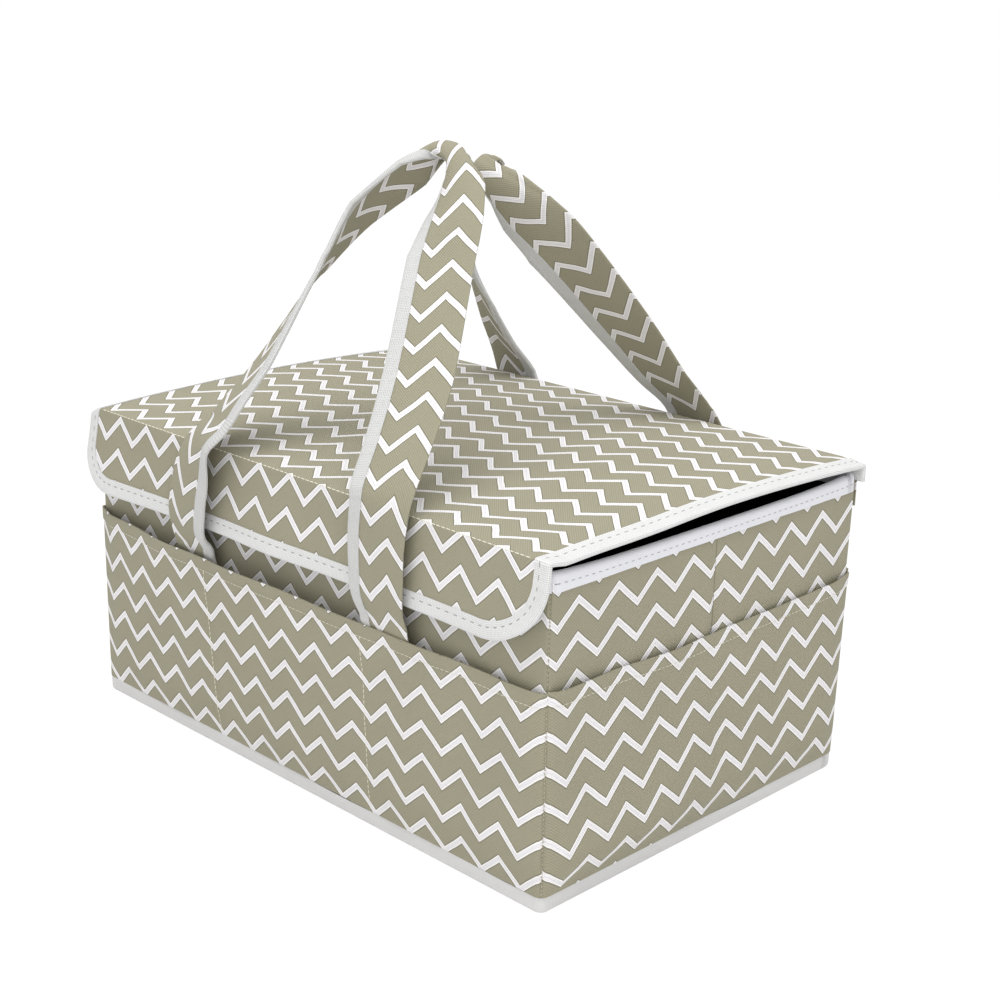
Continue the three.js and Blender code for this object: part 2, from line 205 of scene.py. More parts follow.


# woven tape: ribs across it, a dotted emboss, and the holes of its seam; the dots, the ribs and the holes also
# darken its colour as painted shade
def makeTapeGroup():
    sizes = {"Seam": 0.004, "Step": 0.0048, "Dash": 0.0011, "Dots": 1.0}
    group, given, put = newGroup("tapeWeave", sizes, ("Height", "ToneAndShade", "HoleShade"))
    split = addNode(group, "ShaderNodeSeparateXYZ", Vector=given["Vector"])
    u, v = split.outputs[0], split.outputs[1]
    ribRun, dotRun = 0.0009, 0.0021
    rib = calc(group, "SINE", times(group, u, math.tau / ribRun))
    first, second = (calc(group, "SINE", times(group, calc(group, way, u, v), math.tau / dotRun))
                     for way in ("ADD", "SUBTRACT"))
    dots = times(group, fade(group, times(group, first, second), 0.1, 0.75), given["Dots"])
    height = calc(group, "SUBTRACT", calc(group, "MULTIPLY_ADD", rib, 0.16, 0.6), times(group, dots, 0.5))
    dash = calc(group, "PINGPONG", u, times(group, given["Step"], 0.5))
    inDash = fade(group, calc(group, "SUBTRACT", dash, given["Dash"]), -0.0002, 0.0002, 1.0, 0.0)
    nearSeam = calc(group, "ABSOLUTE", calc(group, "SUBTRACT", v, given["Seam"]))
    # the needle holes of the seam, which are darkened in the colour as painted shade
    holeShade = times(group, inDash, fade(group, nearSeam, 0.00018, 0.0004, 1.0, 0.0))
    pull = fade(group, nearSeam, 0.0002, 0.0012, 1.0, 0.0)
    group.links.new(calc(group, "SUBTRACT", height, times(group, pull, 0.5)), put["Height"])
    group.links.new(holeShade, put["HoleShade"])
    broad = addNode(group, "ShaderNodeTexNoise", Vector=given["Vector"], Scale=60.0, Detail=3.0)
    shade = calc(group, "MULTIPLY_ADD", broad.outputs["Fac"], 0.06, 0.97)
    # painted shade: the colour darkens in the emboss dots, and a little along the ribs below
    shade = calc(group, "SUBTRACT", shade, times(group, dots, 0.32))
    group.links.new(calc(group, "MULTIPLY_ADD", rib, 0.018, shade), put["ToneAndShade"])
    return group


chevronRows = makeChevronGroup()
twillRibs = makeTwillGroup()
tapeWeave = makeTapeGroup()


def newMaterial(name, roughness, sheen=0.0):
    material = bpy.data.materials.new(name)
    material.use_nodes = True
    tree = material.node_tree
    shader = tree.nodes["Principled BSDF"]
    shader.inputs["Roughness"].default_value = roughness
    shader.inputs["Specular IOR Level"].default_value = 0.25
    shader.inputs["Sheen Weight"].default_value = sheen
    return material, tree, shader


def addBump(tree, shader, height, distance):
    bump = addNode(tree, "ShaderNodeBump", Strength=1.0, Distance=distance, Height=height)
    tree.links.new(bump.outputs[0], shader.inputs["Normal"])


def useGroup(tree, group, vector, **values):
    node = tree.nodes.new("ShaderNodeGroup")
    node.node_tree = group
    tree.links.new(vector, node.inputs["Vector"])
    for name, value in values.items():
        node.inputs[name].default_value = value
    return node.outputs


def clothMap(tree):
    node = tree.nodes.new("ShaderNodeUVMap")
    node.uv_map = "cloth"
    return node.outputs[0]


def grey(tree, value):
    return addNode(tree, "ShaderNodeCombineColor", Red=value, Green=value, Blue=value).outputs[0]


# edge is a painted shade colour for the dark rim just outside each white line
clothLook = {"sage": (0.318, 0.299, 0.214, 1), "edge": (0.125, 0.117, 0.076, 1),
             "line": (0.765, 0.745, 0.765, 1), "border": (0.90, 0.88, 0.865, 1)}


def makeChevronCloth():
    material, tree, shader = newMaterial("sageChevronTwill", 0.86, 0.08)
    vector = clothMap(tree)
    rows = useGroup(tree, chevronRows, vector)
    ribs = useGroup(tree, twillRibs, vector)
    ground = mixColor(tree, rows["EdgeShade"], clothLook["sage"], clothLook["edge"])
    lined = mixColor(tree, rows["Line"], ground, clothLook["line"])
    plain = mixColor(tree, rows["Border"], lined, clothLook["border"])
    shaded = mixColor(tree, 1.0, plain, grey(tree, ribs["ToneAndShade"]), "MULTIPLY")
    tree.links.new(shaded, shader.inputs["Base Color"])
    tree.links.new(fade(tree, ribs["Height"], 0.0, 1.0, 0.92, 0.8), shader.inputs["Roughness"])
    addBump(tree, shader, calc(tree, "MULTIPLY_ADD", rows["Line"], 0.3, ribs["Height"]), 0.00016)
    return material


def makeBinding(name, tint, **weaveValues):
    material, tree, shader = newMaterial(name, 0.75, 0.05)
    weave = useGroup(tree, tapeWeave, clothMap(tree), **weaveValues)
    shaded = mixColor(tree, 1.0, tint, grey(tree, weave["ToneAndShade"]), "MULTIPLY")
    # painted shade: dark grey in the needle holes of the seam
    holeShaded = mixColor(tree, times(tree, weave["HoleShade"], 0.75), shaded, (0.20, 0.20, 0.20, 1))
    tree.links.new(holeShaded, shader.inputs["Base Color"])
    tree.links.new(fade(tree, weave["Height"], 0.0, 1.0, 0.85, 0.68), shader.inputs["Roughness"])
    addBump(tree, shader, weave["Height"], 0.00022)
    return material


# plain stuff: a noise breaks up its colour and roughness, and its relief comes from that noise or from cells
def makePlain(name, tint, scale, detail, shade, roughness, relief=0.0, cells=0.0):
    material, tree, shader = newMaterial(name, roughness[1])
    place = tree.nodes.new("ShaderNodeTexCoord").outputs["Object"]
    noise = addNode(tree, "ShaderNodeTexNoise", Vector=place, Scale=scale, Detail=detail).outputs["Fac"]
    spots = grey(tree, calc(tree, "MULTIPLY_ADD", noise, *shade))
    tree.links.new(mixColor(tree, 1.0, tint, spots, "MULTIPLY"), shader.inputs["Base Color"])
    tree.links.new(fade(tree, noise, 0.3, 0.7, *roughness), shader.inputs["Roughness"])
    if cells:
        cell = addNode(tree, "ShaderNodeTexVoronoi", Vector=place, Scale=cells)
        addBump(tree, shader, cell.outputs["Distance"], relief)
    elif relief:
        addBump(tree, shader, noise, relief)
    return material


chevronCloth = makeChevronCloth()
lidBinding = makeBinding("lidTape", (0.76, 0.76, 0.755, 1), Seam=0.0036, Step=0.0062, Dash=0.0013)
rimBinding = makeBinding("rimTape", (0.76, 0.76, 0.80, 1), Seam=0.0046, Dots=0.25)
strapBinding = makeBinding("strapTape", (0.62, 0.62, 0.61, 1), Seam=0.05, Dots=0.8)
baseBinding = makeBinding("baseTape", (0.69, 0.685, 0.68, 1), Seam=0.05, Dots=0.3)
thread = {"scale": 700.0, "detail": 2.0, "shade": (0.4, 0.8), "roughness": (0.5, 0.75)}
creamThread = makePlain("creamThread", (0.80, 0.77, 0.65, 1), **thread)
seamThread = makePlain("seamThread", (0.46, 0.43, 0.33, 1), **thread)
darkLining = makePlain("darkLining", (0.012, 0.012, 0.013, 1), 450.0, 4.0, (0.7, 0.65), (0.8, 0.98),
                       relief=0.0003, cells=420.0)
stiffBoard = makePlain("stiffeningBoard", (0.19, 0.17, 0.15, 1), 140.0, 5.0, (0.5, 0.75), (0.82, 0.96),
                       relief=0.0002)
print("materials made")


# a plain mesh object with the cloth's own map, flat size in metres
def makeObject(name, points, faces, maps, material):
    mesh = bpy.data.meshes.new(name)
    mesh.from_pydata(np.asarray(points).tolist(), [], faces)
    layer = mesh.uv_layers.new(name="cloth")
    loops = np.empty(len(mesh.loops), dtype=np.int32)
    mesh.loops.foreach_get("vertex_index", loops)
    layer.data.foreach_set("uv", np.asarray(maps, float)[loops].ravel())
    mesh.polygons.foreach_set("use_smooth", np.ones(len(mesh.polygons), dtype=bool))
    mesh.set_sharp_from_angle(angle=math.radians(42))
    mesh.materials.append(material)
    piece = bpy.data.objects.new(name, mesh)
    scene.collection.objects.link(piece)
    return piece


# closed thin sheets over grids; each grid is (outer points, map, thickness)
def makeSheet(name, grids, material):
    points, maps, faces = [], [], []
    for outer, flatMap, thick in grids:
        rows, columns = outer.shape[:2]
        normal = unit(np.cross(np.gradient(outer, axis=1), np.gradient(outer, axis=0)))
        inner = outer - normal * np.broadcast_to(thick, (rows, columns))[..., None]
        start = len(points)
        points += outer.reshape(-1, 3).tolist() + inner.reshape(-1, 3).tolist()
        maps += flatMap.reshape(-1, 2).tolist() * 2
        layer = rows * columns
        index = np.arange(layer).reshape(rows, columns) + start
        a, b, c, d = index[:-1, :-1], index[:-1, 1:], index[1:, 1:], index[1:, :-1]
        quads = joined(a, b, c, d).reshape(-1, 4)
        faces += quads.tolist() + (quads[:, ::-1] + layer).tolist()
        rim = np.concatenate([index[0, :-1], index[:-1, -1], index[-1, :0:-1], index[:0:-1, 0]])
        after = np.roll(rim, -1)
        faces += joined(after, rim, rim + layer, after + layer).tolist()
    return makeObject(name, points, faces, maps, material)


# one outline carried along a row of rings; maps are (along, across)
def makeSweep(name, rings, across, along, material, closed=False):
    count, size = rings.shape[:2]
    index = np.arange(count * size).reshape(count, size)
    if closed:
        index = np.concatenate([index, index[:1]])
    a, b = index[:-1], np.roll(index[:-1], -1, axis=1)
    c, d = np.roll(index[1:], -1, axis=1), index[1:]
    faces = joined(a, b, c, d).reshape(-1, 4).tolist()
    if not closed:
        faces += [index[0, ::-1].tolist(), index[-1].tolist()]
    maps = joined(np.broadcast_to(np.asarray(along)[:, None], (count, size)),
                  np.broadcast_to(across, (count, size))).reshape(-1, 2)
    piece = makeObject(name, rings.reshape(-1, 3), faces, maps, material)
    mesh = piece.data
    volume = sum(p.center.dot(p.normal) * p.area for p in mesh.polygons)
    if volume < 0:
        mesh.flip_normals()
    return piece


def lengthsAlong(points):
    steps = np.linalg.norm(np.diff(points, axis=0), axis=-1)
    return np.concatenate([[0], np.cumsum(steps)])


# a tape folded round an edge: (out from the fold, off its middle), and the distance from its free edge
def foldedOutline(reach, room, thick, bends=6, runs=1):
    out = room + thick
    arc = np.linspace(-math.pi / 2, math.pi / 2, bends + 1)
    leg = np.linspace(-reach, -out, runs + 1)[:-1]

    def half(radius):
        bend = [(radius * math.cos(t) - out, radius * math.sin(t)) for t in arc]
        return np.array([(x, -radius) for x in leg] + bend + [(x, radius) for x in leg[::-1]])

    outer, inner = half(out), half(room)[::-1]
    far = lengthsAlong(outer)
    near = lengthsAlong(inner)[::-1]
    return np.concatenate([outer, inner]), np.concatenate([far, near * far[-1] / near[0]])


def finishPiece(piece, slot, nodes=(), body=None, blend=None, **sheet):
    if blend:
        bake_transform(piece)
    else:
        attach(piece, body)
    if nodes:
        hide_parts(*nodes)


# walls: each in its own frame, u across as seen from outside, then turned into place
box = {"length": 0.380, "width": 0.250, "cloth": 0.0008, "wallTop": 0.1742}
sides = {"front": 0.0, "right": math.pi / 2, "back": math.pi, "left": -math.pi / 2}


def isLong(side):
    return side in ("front", "back")


def spans(side):  # half of the wall's own length, and its distance from the middle of the box
    halves = box["length"] / 2, box["width"] / 2
    return halves if isLong(side) else halves[::-1]


# how round each sewn corner is, at the rim and at the base
corners = {"frontRight": (0.0022, 0.0022), "backRight": (0.002, 0.009),
           "backLeft": (0.005, 0.007), "frontLeft": (0.007, 0.007)}
cornerNames = {"front": ("frontLeft", "frontRight"), "right": ("frontRight", "backRight"),
               "back": ("backRight", "backLeft"), "left": ("backLeft", "frontLeft")}


def cornerAt(side, u, z):
    (lowTop, lowFoot), (highTop, highFoot) = [corners[name] for name in cornerNames[side]]
    down = 1 - z / box["wallTop"]
    return np.where(np.sign(u) < 0, lowTop + (lowFoot - lowTop) * down, highTop + (highFoot - highTop) * down)


def placeOnWall(side, u, out, z, rounded=True):  # each end turns through half a right angle
    half, reach = spans(side)
    corner = cornerAt(side, u, z) if rounded else 1e-6
    into = np.clip((np.abs(u) - half + corner) / corner, 0, 1) * math.pi / 4
    x = np.sign(u) * (np.minimum(np.abs(u), half - corner) + (corner + out) * np.sin(into))
    y = corner - reach - (corner + out) * np.cos(into)
    cosine, sine = math.cos(sides[side]), math.sin(sides[side])
    return joined(x * cosine - y * sine, x * sine + y * cosine, np.broadcast_to(z, np.shape(x)))


def columnsFor(side, low, high, step):  # closer together in the turn at each end
    turn = np.array([0, 0.03, 0.07, 0.14, 0.25, 0.4, 0.6, 0.8, 1])
    bends = np.concatenate([sign * (spans(side)[0] - cornerAt(side, sign, 0) * turn) for sign in (-1, 1)])
    extra = [v for v in bends if low <= v <= high]
    return np.unique(np.round(np.concatenate([spread(low, high, step), extra]), 4))


def unrolled(side, u, z):  # distance along the cloth, with the turn laid flat
    beyond = np.maximum(np.abs(u) - spans(side)[0] + cornerAt(side, u, z), 0)
    return u - np.sign(u) * beyond * (1 - math.pi / 4)


wall = {
    "bottom": 0.0011, "bow": 0.0014, "bowTop": 0.172, "step": 0.006, "seamTurn": 0.0008, "seamReach": 0.0014,
    "longPeak": (-0.0025, 0.1225), "nearPeak": (-0.0188, 0.1648), "farPeak": (0.0072, 0.1639),
    "endStretch": (26.8 / 28.8, 0.982), "foldDepth": 0.0016, "foldHalf": 0.0022, "foldGap": 0.0002,
    "foldColumns": (0.0006, 0.0012, 0.0020, 0.0030), "wave": 0.0003, "waveSize": 0.07, "flatHeight": 0.18,
    "boardDepth": 0.0013, "boardThick": 0.002, "boardEnd": 0.010, "boardLow": 0.004, "boardTop": 0.1722,
    "boardGap": 0.003, "boardStep": 0.02,
}


def wallSwell(side, u, z):
    half = spans(side)[0]
    return (1 - (u / half) ** 2) * np.sin(math.pi * np.clip(z / wall["bowTop"], 0, 1)) ** 0.8


def wallGrid(side, low, high, peak):
    half = spans(side)[0]
    columns = columnsFor(side, low, high, wall["step"])
    if not isLong(side):
        fold = np.sign(low + high) * np.array(wall["foldColumns"])
        columns = np.unique(np.concatenate([columns, fold]))
    u, z = np.meshgrid(columns, spread(wall["bottom"], box["wallTop"], wall["step"]))
    swell = wallSwell(side, u, z)
    out = (wall["bow"] + wall["wave"] * wavy(u, z, len(side), wall["waveSize"])) * swell
    if not isLong(side):
        out = out - wall["foldDepth"] * np.exp(-(u / wall["foldHalf"]) ** 2) * swell
    out = out - wall["seamTurn"] * smooth(np.abs(u), half - wall["seamReach"], half)
    across, upward = (1.0, 1.0) if isLong(side) else wall["endStretch"]
    flat = unrolled(side, u, z)
    flatMap = joined((flat - peak[0]) * across, (z - peak[1]) * upward)
    return placeOnWall(side, u, out, z), flatMap, box["cloth"]


def boardGrid(side, low, high):
    u, z = np.meshgrid(spread(low, high, wall["boardStep"]),
                       spread(wall["boardLow"], wall["boardTop"], wall["boardStep"]))
    out = wall["bow"] * wallSwell(side, u, z) - wall["boardDepth"]
    return placeOnWall(side, u, out, z, False), joined(u, z), wall["boardThick"]


for side in sides:
    half = spans(side)[0]
    boardHalf = half - wall["boardEnd"]
    if isLong(side):
        grids = [wallGrid(side, -half, half, wall["longPeak"])]
        boards, nodes = [boardGrid(side, -boardHalf, boardHalf)], [f"{side}_board"]
    else:
        grids = [wallGrid(side, -half, -wall["foldGap"], wall["nearPeak"]),
                 wallGrid(side, wall["foldGap"], half, wall["farPeak"])]
        boards = [boardGrid(side, -boardHalf, -wall["boardGap"]),
                  boardGrid(side, wall["boardGap"], boardHalf)]
        nodes = [f"{side}_board_near", f"{side}_board_far"]
    finishPiece(makeSheet(f"{side}Wall", grids, chevronCloth), "chevron_cloth", [f"{side}_panel"], body="box",
                flat=(2 * half, wall["flatHeight"]), held="stretched", rests_on=["baseTape"])
    finishPiece(makeSheet(f"{side}Boards", boards, stiffBoard), "board", nodes, body="box")
print("walls made")

# outside pockets: sewn at the ends, along the bottom and at the dividers, and gaping at the lip
pocket = {
    "bottom": 0.0093, "top": 0.121, "endTop": 0.1178, "endRise": 0.0022, "endRiseAt": 0.12,
    "room": 0.0032, "endRoom": 0.0026, "sewn": 0.0006, "swell": 0.020, "sewnBelow": 0.004,
    "endReach": 0.022, "nearReach": 0.006, "gape": 0.0085, "gapeAt": -0.05, "gapeLeft": 0.135,
    "gapeRight": 0.205, "divider": 0.066, "draw": 0.0014, "drawReach": 0.012, "drawEnd": (0.085, 0.108),
    "belly": 0.0056, "bellyAt": 0.026, "bellyHalf": 0.030, "bellyFar": 0.35, "bellyTurn": (-0.03, 0.05),
    "crease": 0.0006, "creaseAt": (0.004, 0.06), "creaseSlope": 0.25, "creaseHalf": 0.004,
    "creaseFoot": (0.02, 0.05), "slack": 0.0007, "slackSize": 0.06, "slackLow": 0.35, "lipWave": 0.0005,
    "lipTurns": 95, "lipFrom": 0.1,
    "topWave": 0.0009, "topTurns": 21, "topStart": 2.2, "leftRise": 0.0016, "leftFrom": (0.1, 0.19),
    "rightFall": 0.002, "rightFrom": (0.12, 0.18), "endWave": 0.0004, "endTurns": 60,
    "hem": 0.0073, "hemThick": 0.0009, "hemProud": 0.0005, "hemSoft": 0.0006, "lipRound": 0.0012,
    "lipThin": 0.55, "step": 0.0042, "longPeak": (0.001, 0.1182), "endPeak": (0.0126, 0.1213),
    "longStretch": (0.99, 0.987), "endStretch": (0.951, 0.995), "fullness": 0.012, "flatHeight": 0.13,
}


def pocketOut(side, u, z):
    p = pocket
    rise = np.clip((z - p["bottom"]) / (p["top"] - p["bottom"]), 0, 1)
    near = np.sign(u) == {"front": 1, "right": -1}.get(side, 0)
    ends = smooth(spans(side)[0] - np.abs(u), 0, np.where(near, p["nearReach"], p["endReach"]))
    sewn = smooth(z, p["bottom"] - p["sewnBelow"], p["bottom"] + p["swell"])
    if isLong(side):
        reach = np.where(u < p["gapeAt"], p["gapeLeft"], p["gapeRight"])
        dome = np.clip(1 - ((u - p["gapeAt"]) / reach) ** 2, 0, 1)
        held = np.minimum(*[smooth(np.abs(u - x), 0, p["drawReach"]) for x in (-p["divider"], p["divider"])])
        drawn = p["draw"] * (1 - np.maximum(held, smooth(z, *p["drawEnd"])))
        full = p["room"] + p["gape"] * rise * dome - drawn
    else:
        share = p["bellyFar"] + (1 - p["bellyFar"]) * smooth(-u, *p["bellyTurn"])
        belly = p["belly"] * share * np.exp(-((z - p["bellyAt"]) / p["bellyHalf"]) ** 2)
        slant = u - p["creaseAt"][0] + (z - p["creaseAt"][1]) * p["creaseSlope"]
        crease = p["crease"] * np.exp(-(slant / p["creaseHalf"]) ** 2) * smooth(z, *p["creaseFoot"])
        full = p["endRoom"] + belly - crease
    loose = p["slackLow"] + (1 - p["slackLow"]) * rise
    slack = p["slack"] * wavy(u, z, 5 + len(side), p["slackSize"]) * loose
    lip = p["lipWave"] * np.sin(u * p["lipTurns"] + len(side)) * smooth(z, p["lipFrom"], p["top"])
    return p["sewn"] + (full - p["sewn"] + slack + lip) * sewn * ends


def pocketTop(side, u):
    p = pocket
    if isLong(side):
        ends = p["leftRise"] * smooth(-u, *p["leftFrom"]) - p["rightFall"] * smooth(u, *p["rightFrom"])
        return p["top"] + p["topWave"] * np.sin(u * p["topTurns"] + p["topStart"]) + ends
    return p["endTop"] + p["endRise"] * (u / p["endRiseAt"]) ** 2 + p["endWave"] * np.sin(u * p["endTurns"])


def pocketGrid(side):
    half = spans(side)[0]
    columns = columnsFor(side, -half, half, pocket["step"])
    share = np.concatenate([np.linspace(0, 0.12, 7)[:-1], np.linspace(0.12, 0.925, 20)[:-1],
                            [0.925, 0.93, 0.935, 0.94, 0.96, 0.98, 0.992, 1.0]])
    u, k = np.meshgrid(columns, share)
    top = pocketTop(side, u)
    z = pocket["bottom"] + (top - pocket["bottom"]) * k
    hemLine = top - pocket["hem"]
    hemmed = smooth(z, hemLine - pocket["hemSoft"], hemLine + pocket["hemSoft"])
    turnIn = wall["seamTurn"] * smooth(np.abs(u), half - wall["seamReach"], half)
    out = box["cloth"] + pocketOut(side, u, z) + pocket["hemProud"] * hemmed - turnIn
    outer = placeOnWall(side, u, out, z)
    drop = np.linalg.norm(np.diff(outer, axis=0), axis=-1)
    fromTop = np.concatenate([np.cumsum(drop[::-1], axis=0)[::-1], np.zeros((1, u.shape[1]))])
    peak = pocket["longPeak"] if isLong(side) else pocket["endPeak"]
    across, upward = pocket["longStretch" if isLong(side) else "endStretch"]
    flat = unrolled(side, u, z)
    flatMap = joined((flat - peak[0]) * across, (top - fromTop - peak[1]) * upward)
    thin = pocket["lipThin"] + (1 - pocket["lipThin"]) * smooth(top - z, 0.0, pocket["lipRound"])
    return outer, flatMap, (box["cloth"] + pocket["hemThick"] * hemmed) * thin


for side in sides:
    flat = (2 * spans(side)[0] + pocket["fullness"], pocket["flatHeight"])
    piece = makeSheet(f"{side}Pocket", [pocketGrid(side)], chevronCloth)
    finishPiece(piece, "chevron_cloth", [f"{side}_pocket"], body="box",
                flat=flat, held="stretched", rests_on=[f"{side}Wall", "baseTape"])
print("pockets made")


# tapes round the base and the rim
def roundedPath(halfX, halfY, radii, step=0.004):  # corners from the back right, anticlockwise from above
    points, outs = [], []
    for k, radius in enumerate(radii):
        angle = k * math.pi / 2
        signX, signY = (1 if k in (0, 3) else -1), (1 if k < 2 else -1)
        centre = np.array([(halfX - radius) * signX, (halfY - radius) * signY])
        for t in np.linspace(angle, angle + math.pi / 2, 9):
            outs.append([math.cos(t), math.sin(t)])
            points.append(centre + radius * np.array(outs[-1]))
    filled, filledOut = [], []
    for k, point in enumerate(points):
        following = points[(k + 1) % len(points)]
        count = max(1, int(np.linalg.norm(following - point) / step))
        for j in range(count):
            filled.append(point + (following - point) * j / count)
            filledOut.append(outs[k])
    return np.array(filled), np.array(filledOut)


baseTapeSizes = {"halfX": 0.191, "halfY": 0.126, "radii": (0.010, 0.008, 0.008, 0.005), "height": 0.009,
                 "under": 0.0083, "thick": 0.0007, "edge": 0.0016, "puff": 0.0004, "puffTurns": 60,
                 "puffFrom": (0.001, 0.004), "lift": 0.0005, "liftTurns": 41}


def makeBaseTape():
    s = baseTapeSizes
    arc = np.linspace(0, math.pi / 2, 6)
    outer = [(0, s["height"])] + [(s["edge"] * (math.cos(t) - 1), s["edge"] * (1 - math.sin(t))) for t in arc]
    outer += [(-s["under"], 0.0)]
    small = s["edge"] - s["thick"]
    inner = [(-s["thick"], s["height"])]
    inner += [(small * math.cos(t) - s["edge"], s["edge"] - small * math.sin(t)) for t in arc]
    inner += [(-s["under"], s["thick"])]
    outline = np.array(outer + inner[::-1])
    far = np.concatenate([lengthsAlong(np.array(outer)), lengthsAlong(np.array(inner))[::-1]])
    path, outs = roundedPath(s["halfX"], s["halfY"], s["radii"])
    along = lengthsAlong(path)
    puff = s["puff"] * np.sin(along * s["puffTurns"])[:, None] * smooth(outline[:, 1], *s["puffFrom"])
    lift = s["lift"] * np.sin(along * s["liftTurns"] + 1)[:, None] * (outline[:, 1] / s["height"]) ** 3
    rings = np.empty((len(path), len(outline), 3))
    rings[..., :2] = path[:, None] + outs[:, None] * (outline[:, 0] + puff)[..., None]
    rings[..., 2] = outline[:, 1] + lift
    return makeSweep("baseTape", rings, far, along, baseBinding, closed=True)


finishPiece(makeBaseTape(), "binding", ["base_binding"], body="box", flat=(0.0175, 1.26), held="folded")

rimTapeSizes = {"halfX": 0.1881, "halfY": 0.1231, "radius": 0.004, "top": 0.1794, "reach": 0.0102,
                "room": 0.0022, "thick": 0.0007, "flare": 0.0003, "flareTurns": 75, "flareFrom": 0.004,
                "dip": 0.0027, "innerShare": 0.85}


def makeRimTape():
    s = rimTapeSizes
    outline, far = foldedOutline(s["reach"], s["room"], s["thick"])
    path, outs = roundedPath(s["halfX"], s["halfY"], [s["radius"]] * 4)
    along = lengthsAlong(path)
    rings = np.empty((len(path), len(outline), 3))
    loose = smooth(-outline[:, 0], s["flareFrom"], s["reach"])
    flare = np.abs(s["flare"] * np.sin(along * s["flareTurns"]))[:, None] * loose
    off = outline[:, 1] + flare * np.sign(outline[:, 1])
    rings[..., :2] = path[:, None] + outs[:, None] * off[..., None]
    between = np.clip(1 - (path[:, 1] / s["halfY"]) ** 4, 0, 1)[:, None]
    dip = s["dip"] * between * (1 + outline[:, 0] / s["reach"])
    rings[..., 2] = s["top"] + outline[:, 0] * np.where(outline[:, 1] < 0, s["innerShare"], 1) - dip
    return makeSweep("rimTape", rings, far.max() - far, along, rimBinding, closed=True)


finishPiece(makeRimTape(), "binding", ["rim_binding"], body="box",
            flat=(0.0235, 1.25), held="folded", rests_on=["frontWall", "backWall"])


# base cloth and the dark lining inside
def levelGrid(halfX, halfY, height, step, thick, turn=1):  # faces up, or down with a turn of -1
    x, y = np.meshgrid(spread(-halfX, halfX, step)[::turn], spread(-halfY, halfY, step))
    return joined(x, y, 0.0 * x + height), joined(x, y), thick


baseClothSizes = {"halfX": 0.1795, "halfY": 0.1145, "height": 0.00002, "step": 0.01}
baseGrid = levelGrid(**baseClothSizes, thick=box["cloth"], turn=-1)
finishPiece(makeSheet("baseCloth", [baseGrid], chevronCloth), "chevron_cloth", ["base_cloth"], body="box",
            flat=(0.372, 0.242), held="stretched", rests_on=["baseTape"])

liningSizes = {"x": 0.1858, "y": 0.1208, "low": 0.0052, "floor": 0.0045, "floorGap": 0.0003, "top": 0.1735,
               "inset": 0.0002, "thick": 0.0006, "slack": 0.0004, "slackSize": 0.08, "step": 0.012}


def liningWall(side):
    s = liningSizes
    half, reach = (s["x"], s["y"]) if isLong(side) else (s["y"], s["x"])
    inset = s["inset"] if isLong(side) else 0.0
    u, z = np.meshgrid(spread(-half + inset, half - inset, s["step"])[::-1],
                       spread(s["low"], s["top"], s["step"]))
    slack = s["slack"] * (1 + wavy(u, z, 20, s["slackSize"])) * np.sin(math.pi * z / s["top"])
    return placeOnWall(side, u, reach - spans(side)[1] - slack, z, False), joined(u, z), s["thick"]


def liningFloor():
    s = liningSizes
    return levelGrid(s["x"] - s["floorGap"], s["y"] - s["floorGap"], s["floor"], s["step"], s["thick"])


innerLining = makeSheet("innerLining", [liningWall(side) for side in sides] + [liningFloor()], darkLining)
finishPiece(innerLining, "lining", [f"{side}_lining" for side in sides] + ["base_lining"], body="box",
            flat=(0.74, 0.61), held="stretched", rests_on=["base_board"], area=0.31)
print("base, rim and lining made")

# lid and flap: one cloth over the lid's board, folded down in front
lid = {
    "half": 0.1925, "leftHalf": 0.1885, "back": 0.1266, "top": 0.1862, "crown": 0.004, "frontFace": -0.1294,
    "bend": 0.0013, "backBend": 0.002, "lean": math.radians(5.5), "hang": 0.0450,
    "left": (0.028, 0.027), "right": (0.0425, 0.036), "longer": 0.055, "longerFrom": (0.02, 0.14),
    "wave": 0.0010, "waveSize": 0.11, "waveReach": 0.03, "frontReach": 0.012,
    "edgeDrop": 0.0021, "edgeReach": 0.014, "edgeFlat": 0.002, "edgeThick": 0.0017, "thinEdge": 0.004,
    "fullThick": 0.0039, "leftDrop": 0.0045, "leftReach": 0.012, "leftEase": 0.6,
    "leftEaseFrom": (-0.02, 0.11), "sag": 0.0014, "sagAt": -0.055, "sagHalf": 0.04, "sagFrom": (0.10, 0.19),
    "clothInset": 0.0022, "peak": (0.0121, -0.0071), "rowStretch": 0.917, "rowSkew": 0.058, "rowsReach": 0.05,
    "flapStretch": 0.97, "flapShift": (0.0098, -0.0082), "flapTilt": 0.015, "flapTighter": 0.008,
}
flapOff = {
    "middle": 0.0036, "middleAt": -0.012, "middleHalf": 0.036, "left": 0.0042, "right": 0.0014, "power": 1.4,
    "endFrom": (0.112, 0.185), "curl": 0.0022, "curlFrom": (0.135, 0.185), "curlDown": (0.55, 1.0),
}
lidRun = lid["back"] - lid["frontFace"] - lid["bend"]
bendRun = lid["bend"] * (math.pi / 2 - lid["lean"])
flapStart = lidRun + bendRun
lidTotal = flapStart + lid["hang"]


def flapStandOff(x, down):  # how far the flap's cloth hangs clear of its plain lean
    f = flapOff
    share = np.clip(down / lid["hang"], 0, 1.1)
    middle = f["middle"] * np.exp(-((x - f["middleAt"]) / f["middleHalf"]) ** 2)
    ends = f["left"] * smooth(-x, *f["endFrom"]) + f["right"] * smooth(x, *f["endFrom"])
    curl = f["curl"] * smooth(x, *f["curlFrom"]) * smooth(share, *f["curlDown"])
    return (middle + ends) * share ** f["power"] + curl


def flapDown(x, s):  # the flap hangs a little lower on the left
    return np.maximum(s - flapStart, 0) * (1 + lid["longer"] * smooth(-x, *lid["longerFrom"]))


